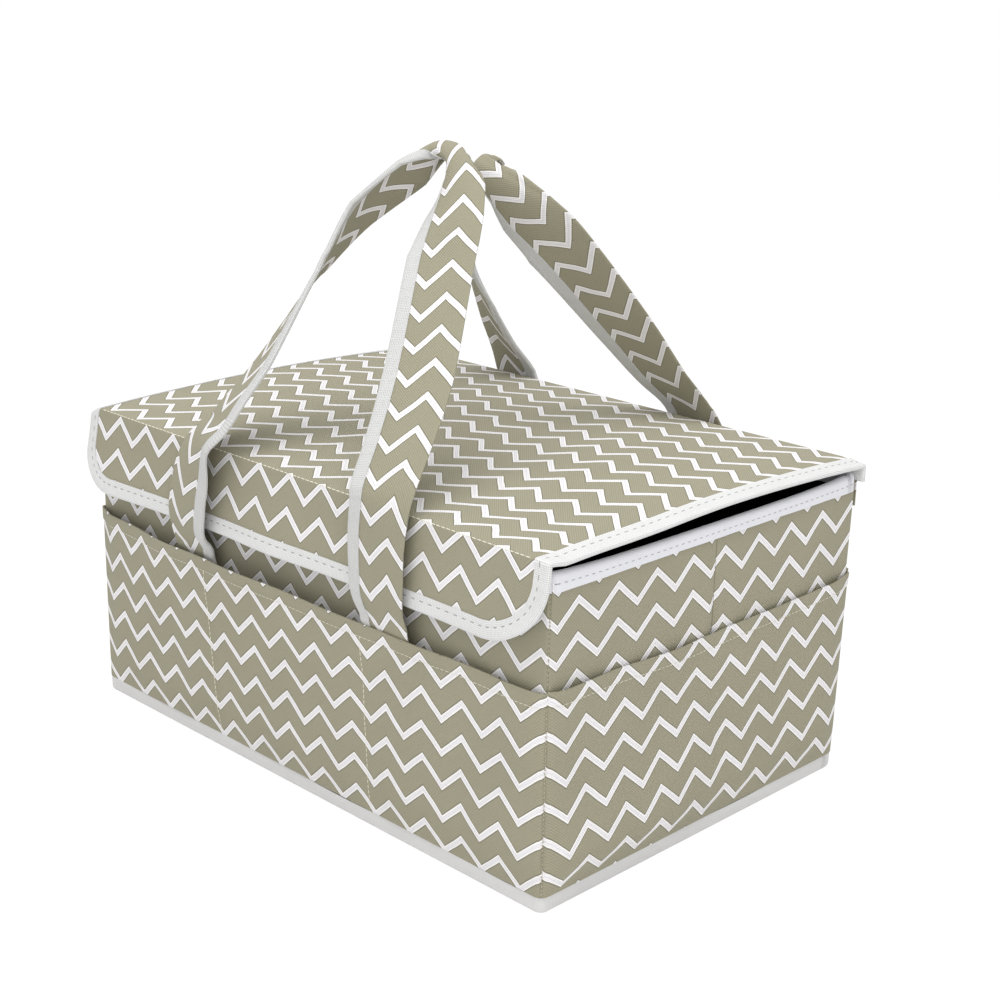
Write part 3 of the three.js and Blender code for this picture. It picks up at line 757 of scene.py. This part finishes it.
def lidPoint(x, s):  # x across, s from the back edge over the lid and down the flap
    x, s = np.broadcast_arrays(np.asarray(x, float), np.asarray(s, float))
    y = lid["back"] - np.clip(s, 0, lidRun)
    middle = smooth(s, 0, lid["waveReach"]) * smooth(lidRun - s, 0, lid["waveReach"])
    middle = middle * np.clip(1 - (x / lid["half"]) ** 4, 0, 1)
    rise = lid["crown"] * np.maximum(1 - (y / lid["back"]) ** 2, 0)
    rise = rise + lid["wave"] * (1 + wavy(x, y, 3, lid["waveSize"])) * middle
    edge = smooth(x, lid["half"] - lid["edgeReach"], lid["half"] - lid["edgeFlat"])
    drop = lid["edgeDrop"] * edge * smooth(lidRun - s, 0, lid["frontReach"])
    sag = np.exp(-((y - lid["sagAt"]) / lid["sagHalf"]) ** 2) * smooth(x, *lid["sagFrom"])
    drop = drop + lid["sag"] * sag
    turned = np.maximum((lid["leftReach"] - lid["leftHalf"] - x) / lid["leftReach"], 0) ** 2
    eased = 1 - lid["leftEase"] * smooth(y, *lid["leftEaseFrom"])
    z = lid["top"] + rise - drop - lid["leftDrop"] * turned * (1 - smooth(s, lidRun, lidTotal)) * eased
    t = np.clip((s - lidRun) / lid["bend"], 0, math.pi / 2 - lid["lean"])
    b = np.clip(-s / lid["backBend"], 0, math.pi / 2)
    y = y - lid["bend"] * np.sin(t) + lid["backBend"] * np.sin(b)
    z = z - lid["bend"] * (1 - np.cos(t)) - lid["backBend"] * (1 - np.cos(b))
    z = z - np.maximum(-s - lid["backBend"] * math.pi / 2, 0)
    down = flapDown(x, s)
    off = flapStandOff(x, down)
    y = y - down * math.sin(lid["lean"]) - off * math.cos(lid["lean"])
    z = z - down * math.cos(lid["lean"]) + off * math.sin(lid["lean"])
    return joined(x, y, z)


def lidNormal(x, s):
    e = 1e-4
    dx = lidPoint(x + e, s) - lidPoint(x - e, s)
    ds = lidPoint(x, s + e) - lidPoint(x, s - e)
    return unit(np.cross(ds, dx))


def lidThick(x, s):  # from the top of the cloth to the underside of the lining
    fromEnd = np.minimum(lid["half"] - x, lid["leftHalf"] + x)
    inner = smooth(fromEnd, lid["thinEdge"], lid["edgeReach"])
    inner = inner * smooth(lidRun - s, 0, lid["frontReach"]) * smooth(s, 0, lid["frontReach"])
    return lid["edgeThick"] + (lid["fullThick"] - lid["edgeThick"]) * inner


def endsAt(s, inset):  # left and right ends of the cloth, rounded at the flap's lower corners
    ends = []
    for sign, half, (across, up) in ((-1, lid["leftHalf"], lid["left"]), (1, lid["half"], lid["right"])):
        into = np.clip((s - lidTotal + up) / up, 0, 1)
        ends.append(sign * (half - across + across * np.sqrt(1 - into ** 2) - inset))
    return ends


def hangStations(inset, start, count):  # closer together towards the rounded corners
    return flapStart + start + (lid["hang"] - inset - start) * np.sin(np.linspace(0, 1, count) * math.pi / 2)


def acrossCloth(stations, inset, count):
    k, s = np.meshgrid(np.linspace(0, 1, count), stations)
    left, right = endsAt(s, inset)
    return left + (right - left) * k, s


def makeLidCloth():
    stations = np.concatenate([spread(0.0006, lidRun - 0.002, 0.005), np.linspace(lidRun, flapStart, 6),
                               hangStations(lid["clothInset"], 0.002, 20)])
    x, s = acrossCloth(stations[::-1], lid["clothInset"], 97)
    flap = smooth(s, lidRun - lid["rowsReach"], flapStart)
    skew = lid["rowSkew"] * np.maximum(lidRun - s, 0) * (1 - flap)
    longer = flapDown(x, s) - np.maximum(s - flapStart, 0)
    stretch = np.where(s < lidRun, lid["rowStretch"], lid["flapStretch"])
    u = x - lid["peak"][0] + skew + flap * (lid["flapShift"][0] + lid["flapTighter"] * x)
    v = (lidRun - s) * stretch - lid["peak"][1] - longer + flap * (lid["flapShift"][1] - lid["flapTilt"] * x)
    return makeSheet("lidCloth", [(lidPoint(x, s), joined(u, v), box["cloth"])], chevronCloth)


foldBlend = ("lid", "flap", (0, -0.1250, 0.1866), (0, -0.1298, 0.1790))
finishPiece(makeLidCloth(), "chevron_cloth", ["lid_cover", "flap_cover"], blend=foldBlend,
            flat=(0.385, 0.302), held="folded", rests_on=["lidBoard"])

lidTapeSizes = {"reach": 0.0104, "flapReach": 0.0095, "room": 0.0009, "thick": 0.0006, "beyond": 0.001}


def lidTapeRing(x, s, outX, outS):  # a folded tape that follows the cloth above and the lining below
    size = lidTapeSizes
    onFlap = float(smooth(s, lidRun - 0.002, flapStart + 0.004))
    reach = size["reach"] + (size["flapReach"] - size["reach"]) * onFlap
    outline, far = foldedOutline(reach, size["room"], size["thick"], runs=4)
    px, ps = x + outX * outline[:, 0], s + outS * outline[:, 0]
    inside = np.clip(outline[:, 1] / size["room"], -1, 1)
    below = lidThick(px, ps) * (1 - inside) / 2 - (outline[:, 1] - inside * size["room"])
    return lidPoint(px, ps) - lidNormal(px, ps) * below[:, None], far.max() - far


def sweepLidTape(name, places):
    made = [lidTapeRing(*place) for place in places]
    along = lengthsAlong(np.array([lidPoint(x, s) for x, s, *_ in places]))
    return makeSweep(name, np.array([m[0] for m in made]), made[0][1], along, lidBinding)


def tapeHalf(sign):
    return (lid["leftHalf"] if sign < 0 else lid["half"]) + lidTapeSizes["beyond"]


def cornerPlaces(sign, low):
    across, up = lid["left"] if sign < 0 else lid["right"]
    half = tapeHalf(sign)
    places = []
    for t in np.linspace(0, math.pi / 2, 17)[1:-1]:
        out = np.array([sign * math.cos(t) * up, math.sin(t) * across])
        out = out / np.linalg.norm(out)
        x, s = half - across * (1 - math.cos(t)), low - up * (1 - math.sin(t))
        places.append((sign * x, s, out[0], out[1]))
    return places


def makeLidTape():  # along one end, round the flap and back along the other end
    low = lidTotal + lidTapeSizes["beyond"]
    bend = np.linspace(lidRun - 0.0012, flapStart + 0.0012, 10)
    ends = {}
    for sign, corner in ((-1, lid["left"]), (1, lid["right"])):
        stations = np.concatenate([spread(0.0, lidRun - 0.004, 0.006), bend,
                                   spread(flapStart + 0.003, low - corner[1], 0.004)])
        ends[sign] = [(sign * tapeHalf(sign), s, sign, 0) for s in stations]
    between = spread(lid["left"][0] - tapeHalf(-1), tapeHalf(1) - lid["right"][0], 0.006)
    bottom = [(x, low, 0, 1) for x in between]
    places = ends[-1] + cornerPlaces(-1, low) + bottom + cornerPlaces(1, low)[::-1] + ends[1][::-1]
    return sweepLidTape("lidTape", places)


finishPiece(makeLidTape(), "binding", ["lid_binding_left", "lid_binding_right", "flap_binding"],
            blend=foldBlend, flat=(0.024, 0.98), held="folded", rests_on=["lidCloth"])

# board and lining of the lid, lining of the flap, and the cloth hinge with a turned-down tape at each end
lidBoardSizes = {"end": 0.0165, "side": 0.0135, "steps": (0.016, 0.01)}
lidLiningSizes = {"end": 0.0012, "side": 0.001, "steps": (0.006, 0.006)}
flapLiningSizes = {"inset": 0.003, "start": 0.0025}
boardUnder = 0.001  # depth of the lid's board under the face of the cloth


def acrossLid(end, side, steps):
    return np.meshgrid(spread(end - lid["leftHalf"], lid["half"] - end, steps[0]),
                       spread(side, lidRun - side, steps[1])[::-1])


def underLid(x, s, depth, thick):  # a sheet at this depth under the face of the cloth
    sunk = lidNormal(x, s) * np.broadcast_to(depth, x.shape)[..., None]
    return lidPoint(x, s) - sunk, joined(x, s), thick


x, s = acrossLid(**lidBoardSizes)
finishPiece(makeSheet("lidBoard", [underLid(x, s, boardUnder, wall["boardThick"])], stiffBoard), "board",
            ["lid_board"], body="lid")
x, s = (part[:, ::-1] for part in acrossLid(**lidLiningSizes))
lidLining = makeSheet("lidLining", [underLid(x, s, lidThick(x, s), liningSizes["thick"])], darkLining)
finishPiece(lidLining, "lining", ["lid_lining"], body="lid",
            flat=(0.384, 0.254), held="stretched", rests_on=["lidBoard"])
stations = hangStations(flapLiningSizes["inset"], flapLiningSizes["start"], 16)[::-1]
x, s = (part[:, ::-1] for part in acrossCloth(stations, flapLiningSizes["inset"], 49))
flapLining = makeSheet("flapLining", [underLid(x, s, lid["edgeThick"], liningSizes["thick"])], darkLining)
finishPiece(flapLining, "lining", ["flap_lining"], body="flap",
            flat=(0.384, 0.042), held="hung", rests_on=["lidTape"])

hinge = {"y": 0.1282, "low": 0.159, "high": 0.183, "turnAt": (0.1262, 0.1837), "turn": (0.002, 0.0015),
         "end": (0.1235, 0.1852), "left": -0.1865, "right": 0.1885, "step": 0.008, "wave": 0.0002,
         "waveTurns": 90, "peak": 0.006, "tapeFrom": -0.0005, "tapeTo": -0.0110}
hingeBlend = ("box", "lid", (0, 0.1274, 0.178), (0, 0.1274, 0.184))


def makeHingeCloth():
    rows = [(hinge["y"], z) for z in np.linspace(hinge["low"], hinge["high"], 10)]
    for a in np.linspace(0, math.pi / 2, 6):
        rows.append((hinge["turnAt"][0] + hinge["turn"][0] * math.cos(a),
                     hinge["turnAt"][1] + hinge["turn"][1] * math.sin(a)))
    rows = np.array(rows + [hinge["end"]])
    x, k = np.meshgrid(spread(hinge["left"], hinge["right"], hinge["step"])[::-1], np.arange(len(rows)))
    points = joined(x, rows[k, 0] + hinge["wave"] * np.sin(x * hinge["waveTurns"]), rows[k, 1])
    flatMap = joined(x - hinge["peak"], lengthsAlong(rows)[k])
    return makeSheet("hingeCloth", [(points, flatMap, box["cloth"])], chevronCloth)


finishPiece(makeHingeCloth(), "chevron_cloth", ["lid_hinge"], blend=hingeBlend,
            flat=(0.377, 0.030), held="hung", rests_on=["rimTape"])
for sign, name in ((-1, "leftHingeTape"), (1, "rightHingeTape")):
    stations = np.linspace(hinge["tapeFrom"], hinge["tapeTo"], 12)
    places = [(sign * tapeHalf(sign), s, sign, 0) for s in stations]
    finishPiece(sweepLidTape(name, places), "binding", blend=hingeBlend,
                flat=(0.024, 0.0105), held="folded", rests_on=["hingeCloth"])
print("lid and flap made")

# handles: a doubled strap, gathered at the top, from one pocket up over the lid and back
handle = {
    "leanFoot": (0.1336, 0.188), "leanTop": (0.013, 0.347), "thick": 0.0014, "cloth": 0.0205, "tape": 0.009,
    "tapeThick": 0.0006, "tapeRoom": 0.00015, "flatten": 0.55, "gatherAbove": 0.25, "step": 0.004,
    "pleat": 0.0011, "pleatRun": 0.045, "pleatFrom": (-0.1, 0.1), "pleatTo": (0.7, 1.0), "pleatAt": -0.2,
    "pleatSlant": 0.8, "pleatHalf": 0.09, "plump": 0.12, "edgeFrom": 0.95, "leanFrom": (0.17, 0.2),
    "foot": (0.082, 0.125), "tapeEnd": 0.012, "tapeBeyond": 0.001, "flat": 0.041, "tapeFlat": 0.020,
    "holdY": 0.1332, "holdLow": 0.1175, "holdHigh": 0.1320,
}
# the end inside the pocket: height, off the wall and half the width, in mm
tail = [(36, 1.2, 16), (60, 1.2, 16), (90, 1.2, 16), (100, 2.0, 16.3), (110, 4.0, 16.8), (118, 6.3, 17.2),
        (124, 7.8, 17.4)]
# across, up from the bend, behind the lean, half the width (mm), turn about its own line (degrees)
frontStations = [
    (82, -61.4, 0.4, 17.5, 0), (82, -54, -2.8, 18.5, 0), (82, -46, -4.6, 19.5, 0), (82, -36, -4.6, 20, 0),
    (81, -20, -3.8, 20.5, 0), (81, 3, -3, 20.5, 3), (78, 15, -3.4, 20.5, 5), (75, 28, -2.8, 20.5, 6),
    (63, 66, -0.3, 20.5, 12), (34.5, 140, -0.8, 20.5, 10), (27, 162, -0.6, 19, 4), (20.5, 179, -0.3, 15.5, -2),
    (13, 191.5, 0.4, 8.5, 0), (5.5, 198.5, 1.5, 5.5, 10), (-4.5, 203.5, 3.5, 6, 28), (-17, 205, 6, 8.5, 55),
    (-31, 190, 6.5, 14, 78), (-51, 158, 5.5, 20, 61), (-56, 111, 2.6, 20.5, 39), (-56.8, 52, -1.2, 20.5, 26),
    (-59, 24, -4.6, 20.5, 22), (-60.5, 13, -4.6, 20.5, 21), (-67, 3, -4, 20.5, 20), (-76, -20, -4.8, 20.5, 12),
    (-79.5, -36, -5.4, 20, 9), (-81, -46, -5.4, 19.5, 7), (-82, -54, -3, 18.5, 4), (-82, -61.4, 0.4, 17.5, 0),
]
rearStations = [
    (82, -61.4, 0.4, 17.5, 0), (82, -54, 0, 18.5, 0), (72, -20, 0, 20.5, 0), (63.2, 3, 0.5, 20.5, -3),
    (53.3, 30, 0.6, 20.5, 6), (41.4, 66, -0.6, 20.5, 17), (20.5, 131, 0.2, 20.5, 31), (9, 154, 1.2, 18.5, 30),
    (0.5, 170.5, 0.3, 12.5, 32), (-7.5, 179.5, -1.5, 7.5, 45), (-14, 182.5, -3.5, 6.5, 65),
    (-18.5, 180, -5.5, 9, 92), (-22, 175, -7, 14, 108), (-40.4, 150, -5, 20, 79), (-64.4, 111, -2.1, 20.5, 50),
    (-75.2, 76, -0.5, 20.5, 30), (-82, 41, 0.1, 20.5, 20), (-87, 3, -0.2, 20.5, 6), (-83, -20, 0, 20.5, 2),
    (-82, -54, 0, 18.5, 0), (-82, -61.4, 0.4, 17.5, 0),
]


def onLean(x, up, behind):
    fy, fz = handle["leanFoot"]
    ty, tz = handle["leanTop"]
    if up > 0:
        run = math.hypot(fy - ty, tz - fz)
        dy, dz = (fy - ty) / run, (tz - fz) / run
        return np.array([x, fy - dy * up - dz * behind, fz + dz * up - dy * behind])
    return np.array([x, fy - behind, fz + up])


def curveAt(points, t):  # centripetal curve through the points, with its direction
    n = len(points)
    place = (n - 1) * t
    i = min(int(place), n - 2)
    w = place - i
    p1, p2 = points[i], points[i + 1]
    p0 = points[i - 1] if i else 2 * p1 - p2
    p3 = points[i + 2] if i + 2 < n else 2 * p2 - p1
    d0, d1, d2 = (np.linalg.norm(b - a) ** 0.5 for a, b in ((p0, p1), (p1, p2), (p2, p3)))
    m1 = ((p1 - p0) / d0 - (p2 - p0) / (d0 + d1) + (p2 - p1) / d1) * d1
    m2 = ((p2 - p1) / d1 - (p3 - p1) / (d1 + d2) + (p3 - p2) / d2) * d1
    c2, c3 = 3 * (p2 - p1) - 2 * m1 - m2, 2 * (p1 - p2) + m1 + m2
    return p1 + w * (m1 + w * (c2 + w * c3)), m1 + w * (2 * c2 + 3 * w * c3), i, w


def curlFor(half):  # half the angle that the cloth curls through to be this narrow
    share = half / handle["cloth"]
    if share > 0.995:
        return 0.0
    if share < 2 / math.pi:
        return 1 / share
    low, high = 0.0, math.pi / 2
    for k in range(40):
        middle = (low + high) / 2
        low, high = (middle, high) if math.sin(middle) / middle > share else (low, middle)
    return low


def tailRows(sign):
    across, wallY = handle["foot"]
    return [(np.array([sign * across, wallY + out / 1000, z / 1000]), half / 1000, 0.0)
            for z, out, half in tail]


def strapRings(stations, towards):
    rows = tailRows(1)
    rows += [(onLean(x / 1000, up / 1000, behind / 1000), half / 1000, twist)
             for x, up, behind, half, twist in stations]
    rows += tailRows(-1)[::-1]
    points = [r[0] * np.array([1, towards, 1]) for r in rows]
    last = len(points) - 1
    rise = unit(onLean(0, 0.2, 0) - onLean(0, 0.1, 0))
    upright = np.array([0, -1.0, 0])
    leaning = np.cross(rise * np.array([1, towards, 1]), np.array([-1.0, 0, 0]))
    shares = [0.0]
    for i in range(last):
        length = np.linalg.norm(points[i + 1] - points[i])
        steps = max(2, int(length / handle["step"]), int(abs(rows[i + 1][2] - rows[i][2]) / 5))
        shares += [(i + k / steps) / last for k in range(1, steps + 1)]
    rings = []
    for t in shares:
        middle, direction, i, w = curveAt(points, t)
        tangent = direction / np.linalg.norm(direction)
        facing = upright + (leaning - upright) * float(smooth(middle[2], *handle["leanFrom"]))
        across = Vector(np.cross(facing, tangent)).normalized()
        twist = math.radians(rows[i][2] + (rows[i + 1][2] - rows[i][2]) * w)
        bound = np.array(Matrix.Rotation(twist, 3, Vector(tangent)) @ across)
        half = rows[i][1] + (rows[i + 1][1] - rows[i][1]) * w
        curl = curlFor(half) if middle[2] > handle["gatherAbove"] else 0.0
        rings.append((middle, bound, np.cross(tangent, bound), half, curl))
    return rings


def strapPoints(ring, across, off):  # across the cloth from its middle, and off its middle layer
    middle, bound, normal, half, curl = ring
    cloth = handle["cloth"]
    inside = np.clip(across, -cloth, cloth)
    beyond = across - inside
    if curl < 0.02:
        x, y = inside * half / cloth + beyond, off
    else:
        radius, flat = cloth / curl, handle["flatten"]
        angle = inside / radius
        run = np.hypot(np.cos(angle), flat * np.sin(angle))
        tx, ty = np.cos(angle) / run, -flat * np.sin(angle) / run
        x = radius * np.sin(angle) + beyond * tx - off * ty
        y = flat * radius * (np.cos(angle) - math.sin(curl) / curl) + beyond * ty + off * tx
    return middle + bound * np.asarray(x)[:, None] + normal * np.asarray(y)[:, None]


def makeStrap(name, stations, towards, peaks, rows):
    rings = strapRings(stations, towards)
    along = lengthsAlong(np.array([r[0] for r in rings]))
    top = along[int(np.argmax([r[0][2] for r in rings]))]
    a = np.concatenate([[-1.0, -0.99, -0.96], np.linspace(-0.9, 0.9, 25), [0.96, 0.99, 1.0]])
    intoEdge = ((np.abs(a) - handle["edgeFrom"]) / (1 - handle["edgeFrom"])).clip(0, 1)
    edge = np.sqrt(np.maximum(1 - intoEdge ** 2, 0.06))
    plump = handle["thick"] / 2 * edge * (1 + handle["plump"] * np.cos(a * math.pi / 2))
    loop = np.concatenate([a, a[::-1]])
    upper = np.concatenate([np.zeros(len(a)), np.ones(len(a))])
    offset = np.concatenate([-plump, plump[::-1]])
    points = []
    for ring, place in zip(rings, along):
        down = (top - place) / handle["pleatRun"]
        shown = float(smooth(down, *handle["pleatFrom"]) * (1 - smooth(down, *handle["pleatTo"])))
        aside = loop - handle["pleatAt"] + handle["pleatSlant"] * down
        pleat = handle["pleat"] * shown * np.exp(-(aside / handle["pleatHalf"]) ** 2)
        points.append(strapPoints(ring, loop * handle["cloth"], offset - pleat))
    share = (along / along[-1])[:, None]
    fromTape = (1 - loop) * handle["cloth"] - handle["tape"]
    u = fromTape - np.where(upper > 0, peaks[0] + (peaks[1] - peaks[0]) * share, peaks[2])
    piece = makeSweep(name, np.array(points), u, np.interp(along, *zip(*rows)), chevronCloth)
    layer = piece.data.uv_layers["cloth"].data
    turned = np.empty(len(layer) * 2)
    layer.foreach_get("uv", turned)
    layer.foreach_set("uv", turned.reshape(-1, 2)[:, ::-1].ravel())
    return piece, rings, along


def makeStrapTape(name, rings, along):
    chosen = [i for i in range(len(rings)) if handle["tapeEnd"] < along[i] < along[-1] - handle["tapeEnd"]]
    room = handle["thick"] / 2 + handle["tapeRoom"]
    outline, far = foldedOutline(handle["tape"], room, handle["tapeThick"], 4, 5)
    reach = handle["cloth"] + handle["tapeBeyond"] + outline[:, 0]
    points = [strapPoints(rings[i], reach, outline[:, 1]) for i in chosen]
    return makeSweep(name, np.array(points), far, along[chosen] - along[chosen[0]], strapBinding)


# for each strap: where a peak stands from the tape, on its upper face at both feet and on its lower face,
# and pairs of a place along the strap and the row of the cloth there, because the gathers take up cloth
handles = {
    "front": {"stations": frontStations, "towards": -1, "peaks": (0.0217, 0.0140, 0.012),
              "rows": [(0, -0.095), (0.315, 0.2016), (0.4407, 0.3201), (0.764, 0.6314)]},
    "rear": {"stations": rearStations, "towards": 1, "peaks": (0.0048, 0.0022, 0.012),
             "rows": [(0, -0.114), (0.191, 0.0731), (0.257, 0.1412), (0.311, 0.1921), (0.357, 0.240),
                      (0.539, 0.4204), (0.739, 0.6108)]},
}
for name, kind in handles.items():
    strap, rings, along = makeStrap(f"{name}Strap", **kind)
    tape = makeStrapTape(f"{name}StrapTape", rings, along)
    out = kind["towards"] * handle["holdY"]
    hold = ("box", f"{name}_handle", (0, out, handle["holdLow"]), (0, out, handle["holdHigh"]))
    length = round(along[-1], 3)
    nodes = [f"{name}_handle_strap", f"{name}_tail_left", f"{name}_tail_right"]
    finishPiece(strap, "chevron_cloth", nodes, blend=hold, flat=(handle["flat"], length), held="folded",
                rests_on=["frontWall" if name == "front" else "backWall"])
    finishPiece(tape, "binding", [f"{name}_handle_binding"], blend=hold,
                flat=(handle["tapeFlat"], length), held="folded", rests_on=[strap.name])
print("handles made")


# stitches: short threads set along lines by geometry nodes
def makeStitchTree():
    tree = bpy.data.node_groups.new("stitchesAlongLines", "GeometryNodeTree")
    kinds = {"Lines": "Geometry", "Spacing": "Float", "Length": "Float", "Width": "Float",
             "Thread": "Material"}
    for label, kind in kinds.items():
        tree.interface.new_socket(label, in_out="INPUT", socket_type="NodeSocket" + kind)
    tree.interface.new_socket("Stitches", in_out="OUTPUT", socket_type="NodeSocketGeometry")
    given = tree.nodes.new("NodeGroupInput").outputs
    put = tree.nodes.new("NodeGroupOutput").inputs
    toPoints = tree.nodes.new("GeometryNodeCurveToPoints")
    toPoints.mode = "LENGTH"
    tree.links.new(given["Lines"], toPoints.inputs["Curve"])
    tree.links.new(given["Spacing"], toPoints.inputs["Length"])
    ball = addNode(tree, "GeometryNodeMeshUVSphere", Segments=6, Rings=5, Radius=0.5)
    size = addNode(tree, "ShaderNodeCombineXYZ", X=given["Width"], Y=given["Width"], Z=given["Length"])
    shaped = addNode(tree, "GeometryNodeTransform", Geometry=ball.outputs["Mesh"], Scale=size.outputs[0])
    turned = addNode(tree, "FunctionNodeAlignRotationToVector", Vector=toPoints.outputs["Tangent"])
    turned.axis = "Z"
    placed = addNode(tree, "GeometryNodeInstanceOnPoints", Points=toPoints.outputs["Points"],
                     Instance=shaped.outputs[0], Rotation=turned.outputs[0])
    realized = addNode(tree, "GeometryNodeRealizeInstances", i0=placed.outputs[0])
    dressed = addNode(tree, "GeometryNodeSetMaterial", Geometry=realized.outputs[0], Material=given["Thread"])
    tree.links.new(dressed.outputs[0], put[0])
    return tree


stitchTree = makeStitchTree()
inputNames = {s.name: s.identifier for s in stitchTree.interface.items_tree if s.in_out == "INPUT"}


def makeStitches(name, lines, sizes, thread):
    curve = bpy.data.curves.new(name + "Lines", "CURVE")
    curve.dimensions = "3D"
    for line in lines:
        spline = curve.splines.new("POLY")
        spline.points.add(len(line) - 1)
        spline.points.foreach_set("co", np.concatenate([line, np.ones((len(line), 1))], axis=1).ravel())
    holder = bpy.data.objects.new(name + "Lines", curve)
    scene.collection.objects.link(holder)
    modifier = holder.modifiers.new("stitches", "NODES")
    modifier.node_group = stitchTree
    for label, value in zip(("Spacing", "Length", "Width", "Thread"), (*sizes, thread)):
        modifier[inputNames[label]] = value
    evaluated = holder.evaluated_get(bpy.context.evaluated_depsgraph_get())
    mesh = bpy.data.meshes.new_from_object(evaluated)
    bpy.data.objects.remove(holder)
    bpy.data.curves.remove(curve)
    mesh.name = name
    mesh.polygons.foreach_set("use_smooth", np.ones(len(mesh.polygons), dtype=bool))
    piece = bpy.data.objects.new(name, mesh)
    scene.collection.objects.link(piece)
    return piece


# spacing, length and width of the threads
stitchSizes = {"pocket": (0.0031, 0.0027, 0.0004), "corner": (0.0024, 0.0015, 0.0006),
               "fold": (0.0036, 0.0032, 0.0006)}
stitch = {"proud": 0.0001, "step": 0.003, "hemBelow": 0.0004, "hemEnd": 0.004, "dividers": (-0.003, -0.002),
          "dividerFoot": 0.012, "dividerBelow": 0.0085, "cornerProud": 0.0003, "cornerStep": 0.004,
          "cornerFoot": 0.011, "cornerBelow": 0.003, "cornerAbove": 0.002, "cornerTop": 0.1675,
          "foldEnd": 0.014}


def pocketLine(side, u, z):
    u, z = np.broadcast_arrays(u, z)
    return placeOnWall(side, u, box["cloth"] + pocketOut(side, u, z) + stitch["proud"], z)


def hemLine(side):
    half = spans(side)[0] - stitch["hemEnd"]
    u = spread(-half, half, stitch["step"])
    return pocketLine(side, u, pocketTop(side, u) - pocket["hem"] - stitch["hemBelow"])


def dividerLines(side):
    z = spread(stitch["dividerFoot"], pocket["top"] - stitch["dividerBelow"], stitch["step"])
    left, right = stitch["dividers"]
    return [pocketLine(side, x, z) for x in (left - pocket["divider"], right + pocket["divider"])]


def cornerSeams(side):  # above the pocket on the wall's own cloth, and below on the pocket's
    high = spread(pocket["top"] + stitch["cornerAbove"], stitch["cornerTop"], stitch["cornerStep"])
    low = spread(stitch["cornerFoot"], pocket["top"] - stitch["cornerBelow"], stitch["cornerStep"])
    onWall = stitch["cornerProud"] - wall["seamTurn"]
    onPocket = box["cloth"] + pocket["sewn"] + onWall
    half = spans(side)[0]
    return [placeOnWall(side, np.full(len(z), end), out, z)
            for end in (-half, half) for z, out in ((high, onWall), (low, onPocket))]


lines, cornerLines = [], []
for side in sides:
    lines.append(hemLine(side))
    if isLong(side):
        lines += dividerLines(side)
        cornerLines += cornerSeams(side)
pocketStitches = makeStitches("pocketStitches", lines, stitchSizes["pocket"], creamThread)
finishPiece(pocketStitches, "binding", body="box")
cornerStitches = makeStitches("cornerStitches", cornerLines, stitchSizes["corner"], seamThread)
finishPiece(cornerStitches, "binding", body="box")

x = spread(stitch["foldEnd"] - lid["leftHalf"], lid["half"] - stitch["foldEnd"], stitch["step"])
s = np.full(len(x), lidRun + bendRun * 0.5)
foldLine = lidPoint(x, s) + lidNormal(x, s) * stitch["proud"]
foldStitches = makeStitches("foldStitches", [foldLine], stitchSizes["fold"], creamThread)
finishPiece(foldStitches, "binding", blend=foldBlend)
print("stitches made")

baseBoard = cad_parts["base_board"].data
baseBoard.materials.clear()
baseBoard.materials.append(stiffBoard)

# floor, light and background
stage = {"size": 8.0, "level": -0.0004, "floor": (0.92, 0.92, 0.92, 1), "whiteness": 0.9,
         "glow": 1.06, "sky": 0.66}


def seenPlainly(tree):  # what the camera, a reflection or a clear surface looks at
    path = tree.nodes.new("ShaderNodeLightPath").outputs
    mirrored = calc(tree, "MAXIMUM", path["Is Glossy Ray"], path["Is Transmission Ray"])
    return calc(tree, "MAXIMUM", path["Is Camera Ray"], mirrored)


def makeFloor():
    s = stage["size"]
    mesh = bpy.data.meshes.new("floor")
    around = [(x, y, stage["level"]) for x, y in ((-s, -s), (s, -s), (s, s), (-s, s))]
    mesh.from_pydata(around, [], [(0, 1, 2, 3)])
    material = bpy.data.materials.new("paleFloor")
    material.use_nodes = True
    tree = material.node_tree
    shader = tree.nodes["Principled BSDF"]
    shader.inputs["Base Color"].default_value = stage["floor"]
    shader.inputs["Roughness"].default_value = 0.9
    glow = addNode(tree, "ShaderNodeEmission", Color=(1, 1, 1, 1), Strength=stage["glow"])
    white = times(tree, seenPlainly(tree), stage["whiteness"])
    mixed = addNode(tree, "ShaderNodeMixShader", Fac=white)
    tree.links.new(shader.outputs[0], mixed.inputs[1])
    tree.links.new(glow.outputs[0], mixed.inputs[2])
    tree.links.new(mixed.outputs[0], tree.nodes["Material Output"].inputs["Surface"])
    mesh.materials.append(material)
    floor = bpy.data.objects.new("floor", mesh)
    scene.collection.objects.link(floor)


makeFloor()

lamps = {
    "key": {"place": (0.2, -0.3, 1.8), "size": 1.8, "power": 25.0},
    "camera": {"place": (1.25, -1.0, 0.35), "size": 1.2, "power": 4.7},
}
lampAim = Vector((0, 0, 0.12))
for name, lamp in lamps.items():
    light = bpy.data.lights.new(name, "AREA")
    light.energy = lamp["power"]
    light.size = lamp["size"]
    holder = bpy.data.objects.new(name, light)
    holder.location = lamp["place"]
    holder.rotation_euler = (lampAim - Vector(lamp["place"])).to_track_quat("-Z", "Y").to_euler()
    scene.collection.objects.link(holder)

world = bpy.data.worlds.new("studio")
scene.world = world
world.use_nodes = True
tree = world.node_tree
back = tree.nodes["Background"]
back.inputs["Color"].default_value = (1, 1, 1, 1)
strength = calc(tree, "MULTIPLY_ADD", seenPlainly(tree), 1.0 - stage["sky"], stage["sky"])
tree.links.new(strength, back.inputs["Strength"])
print("stage made")
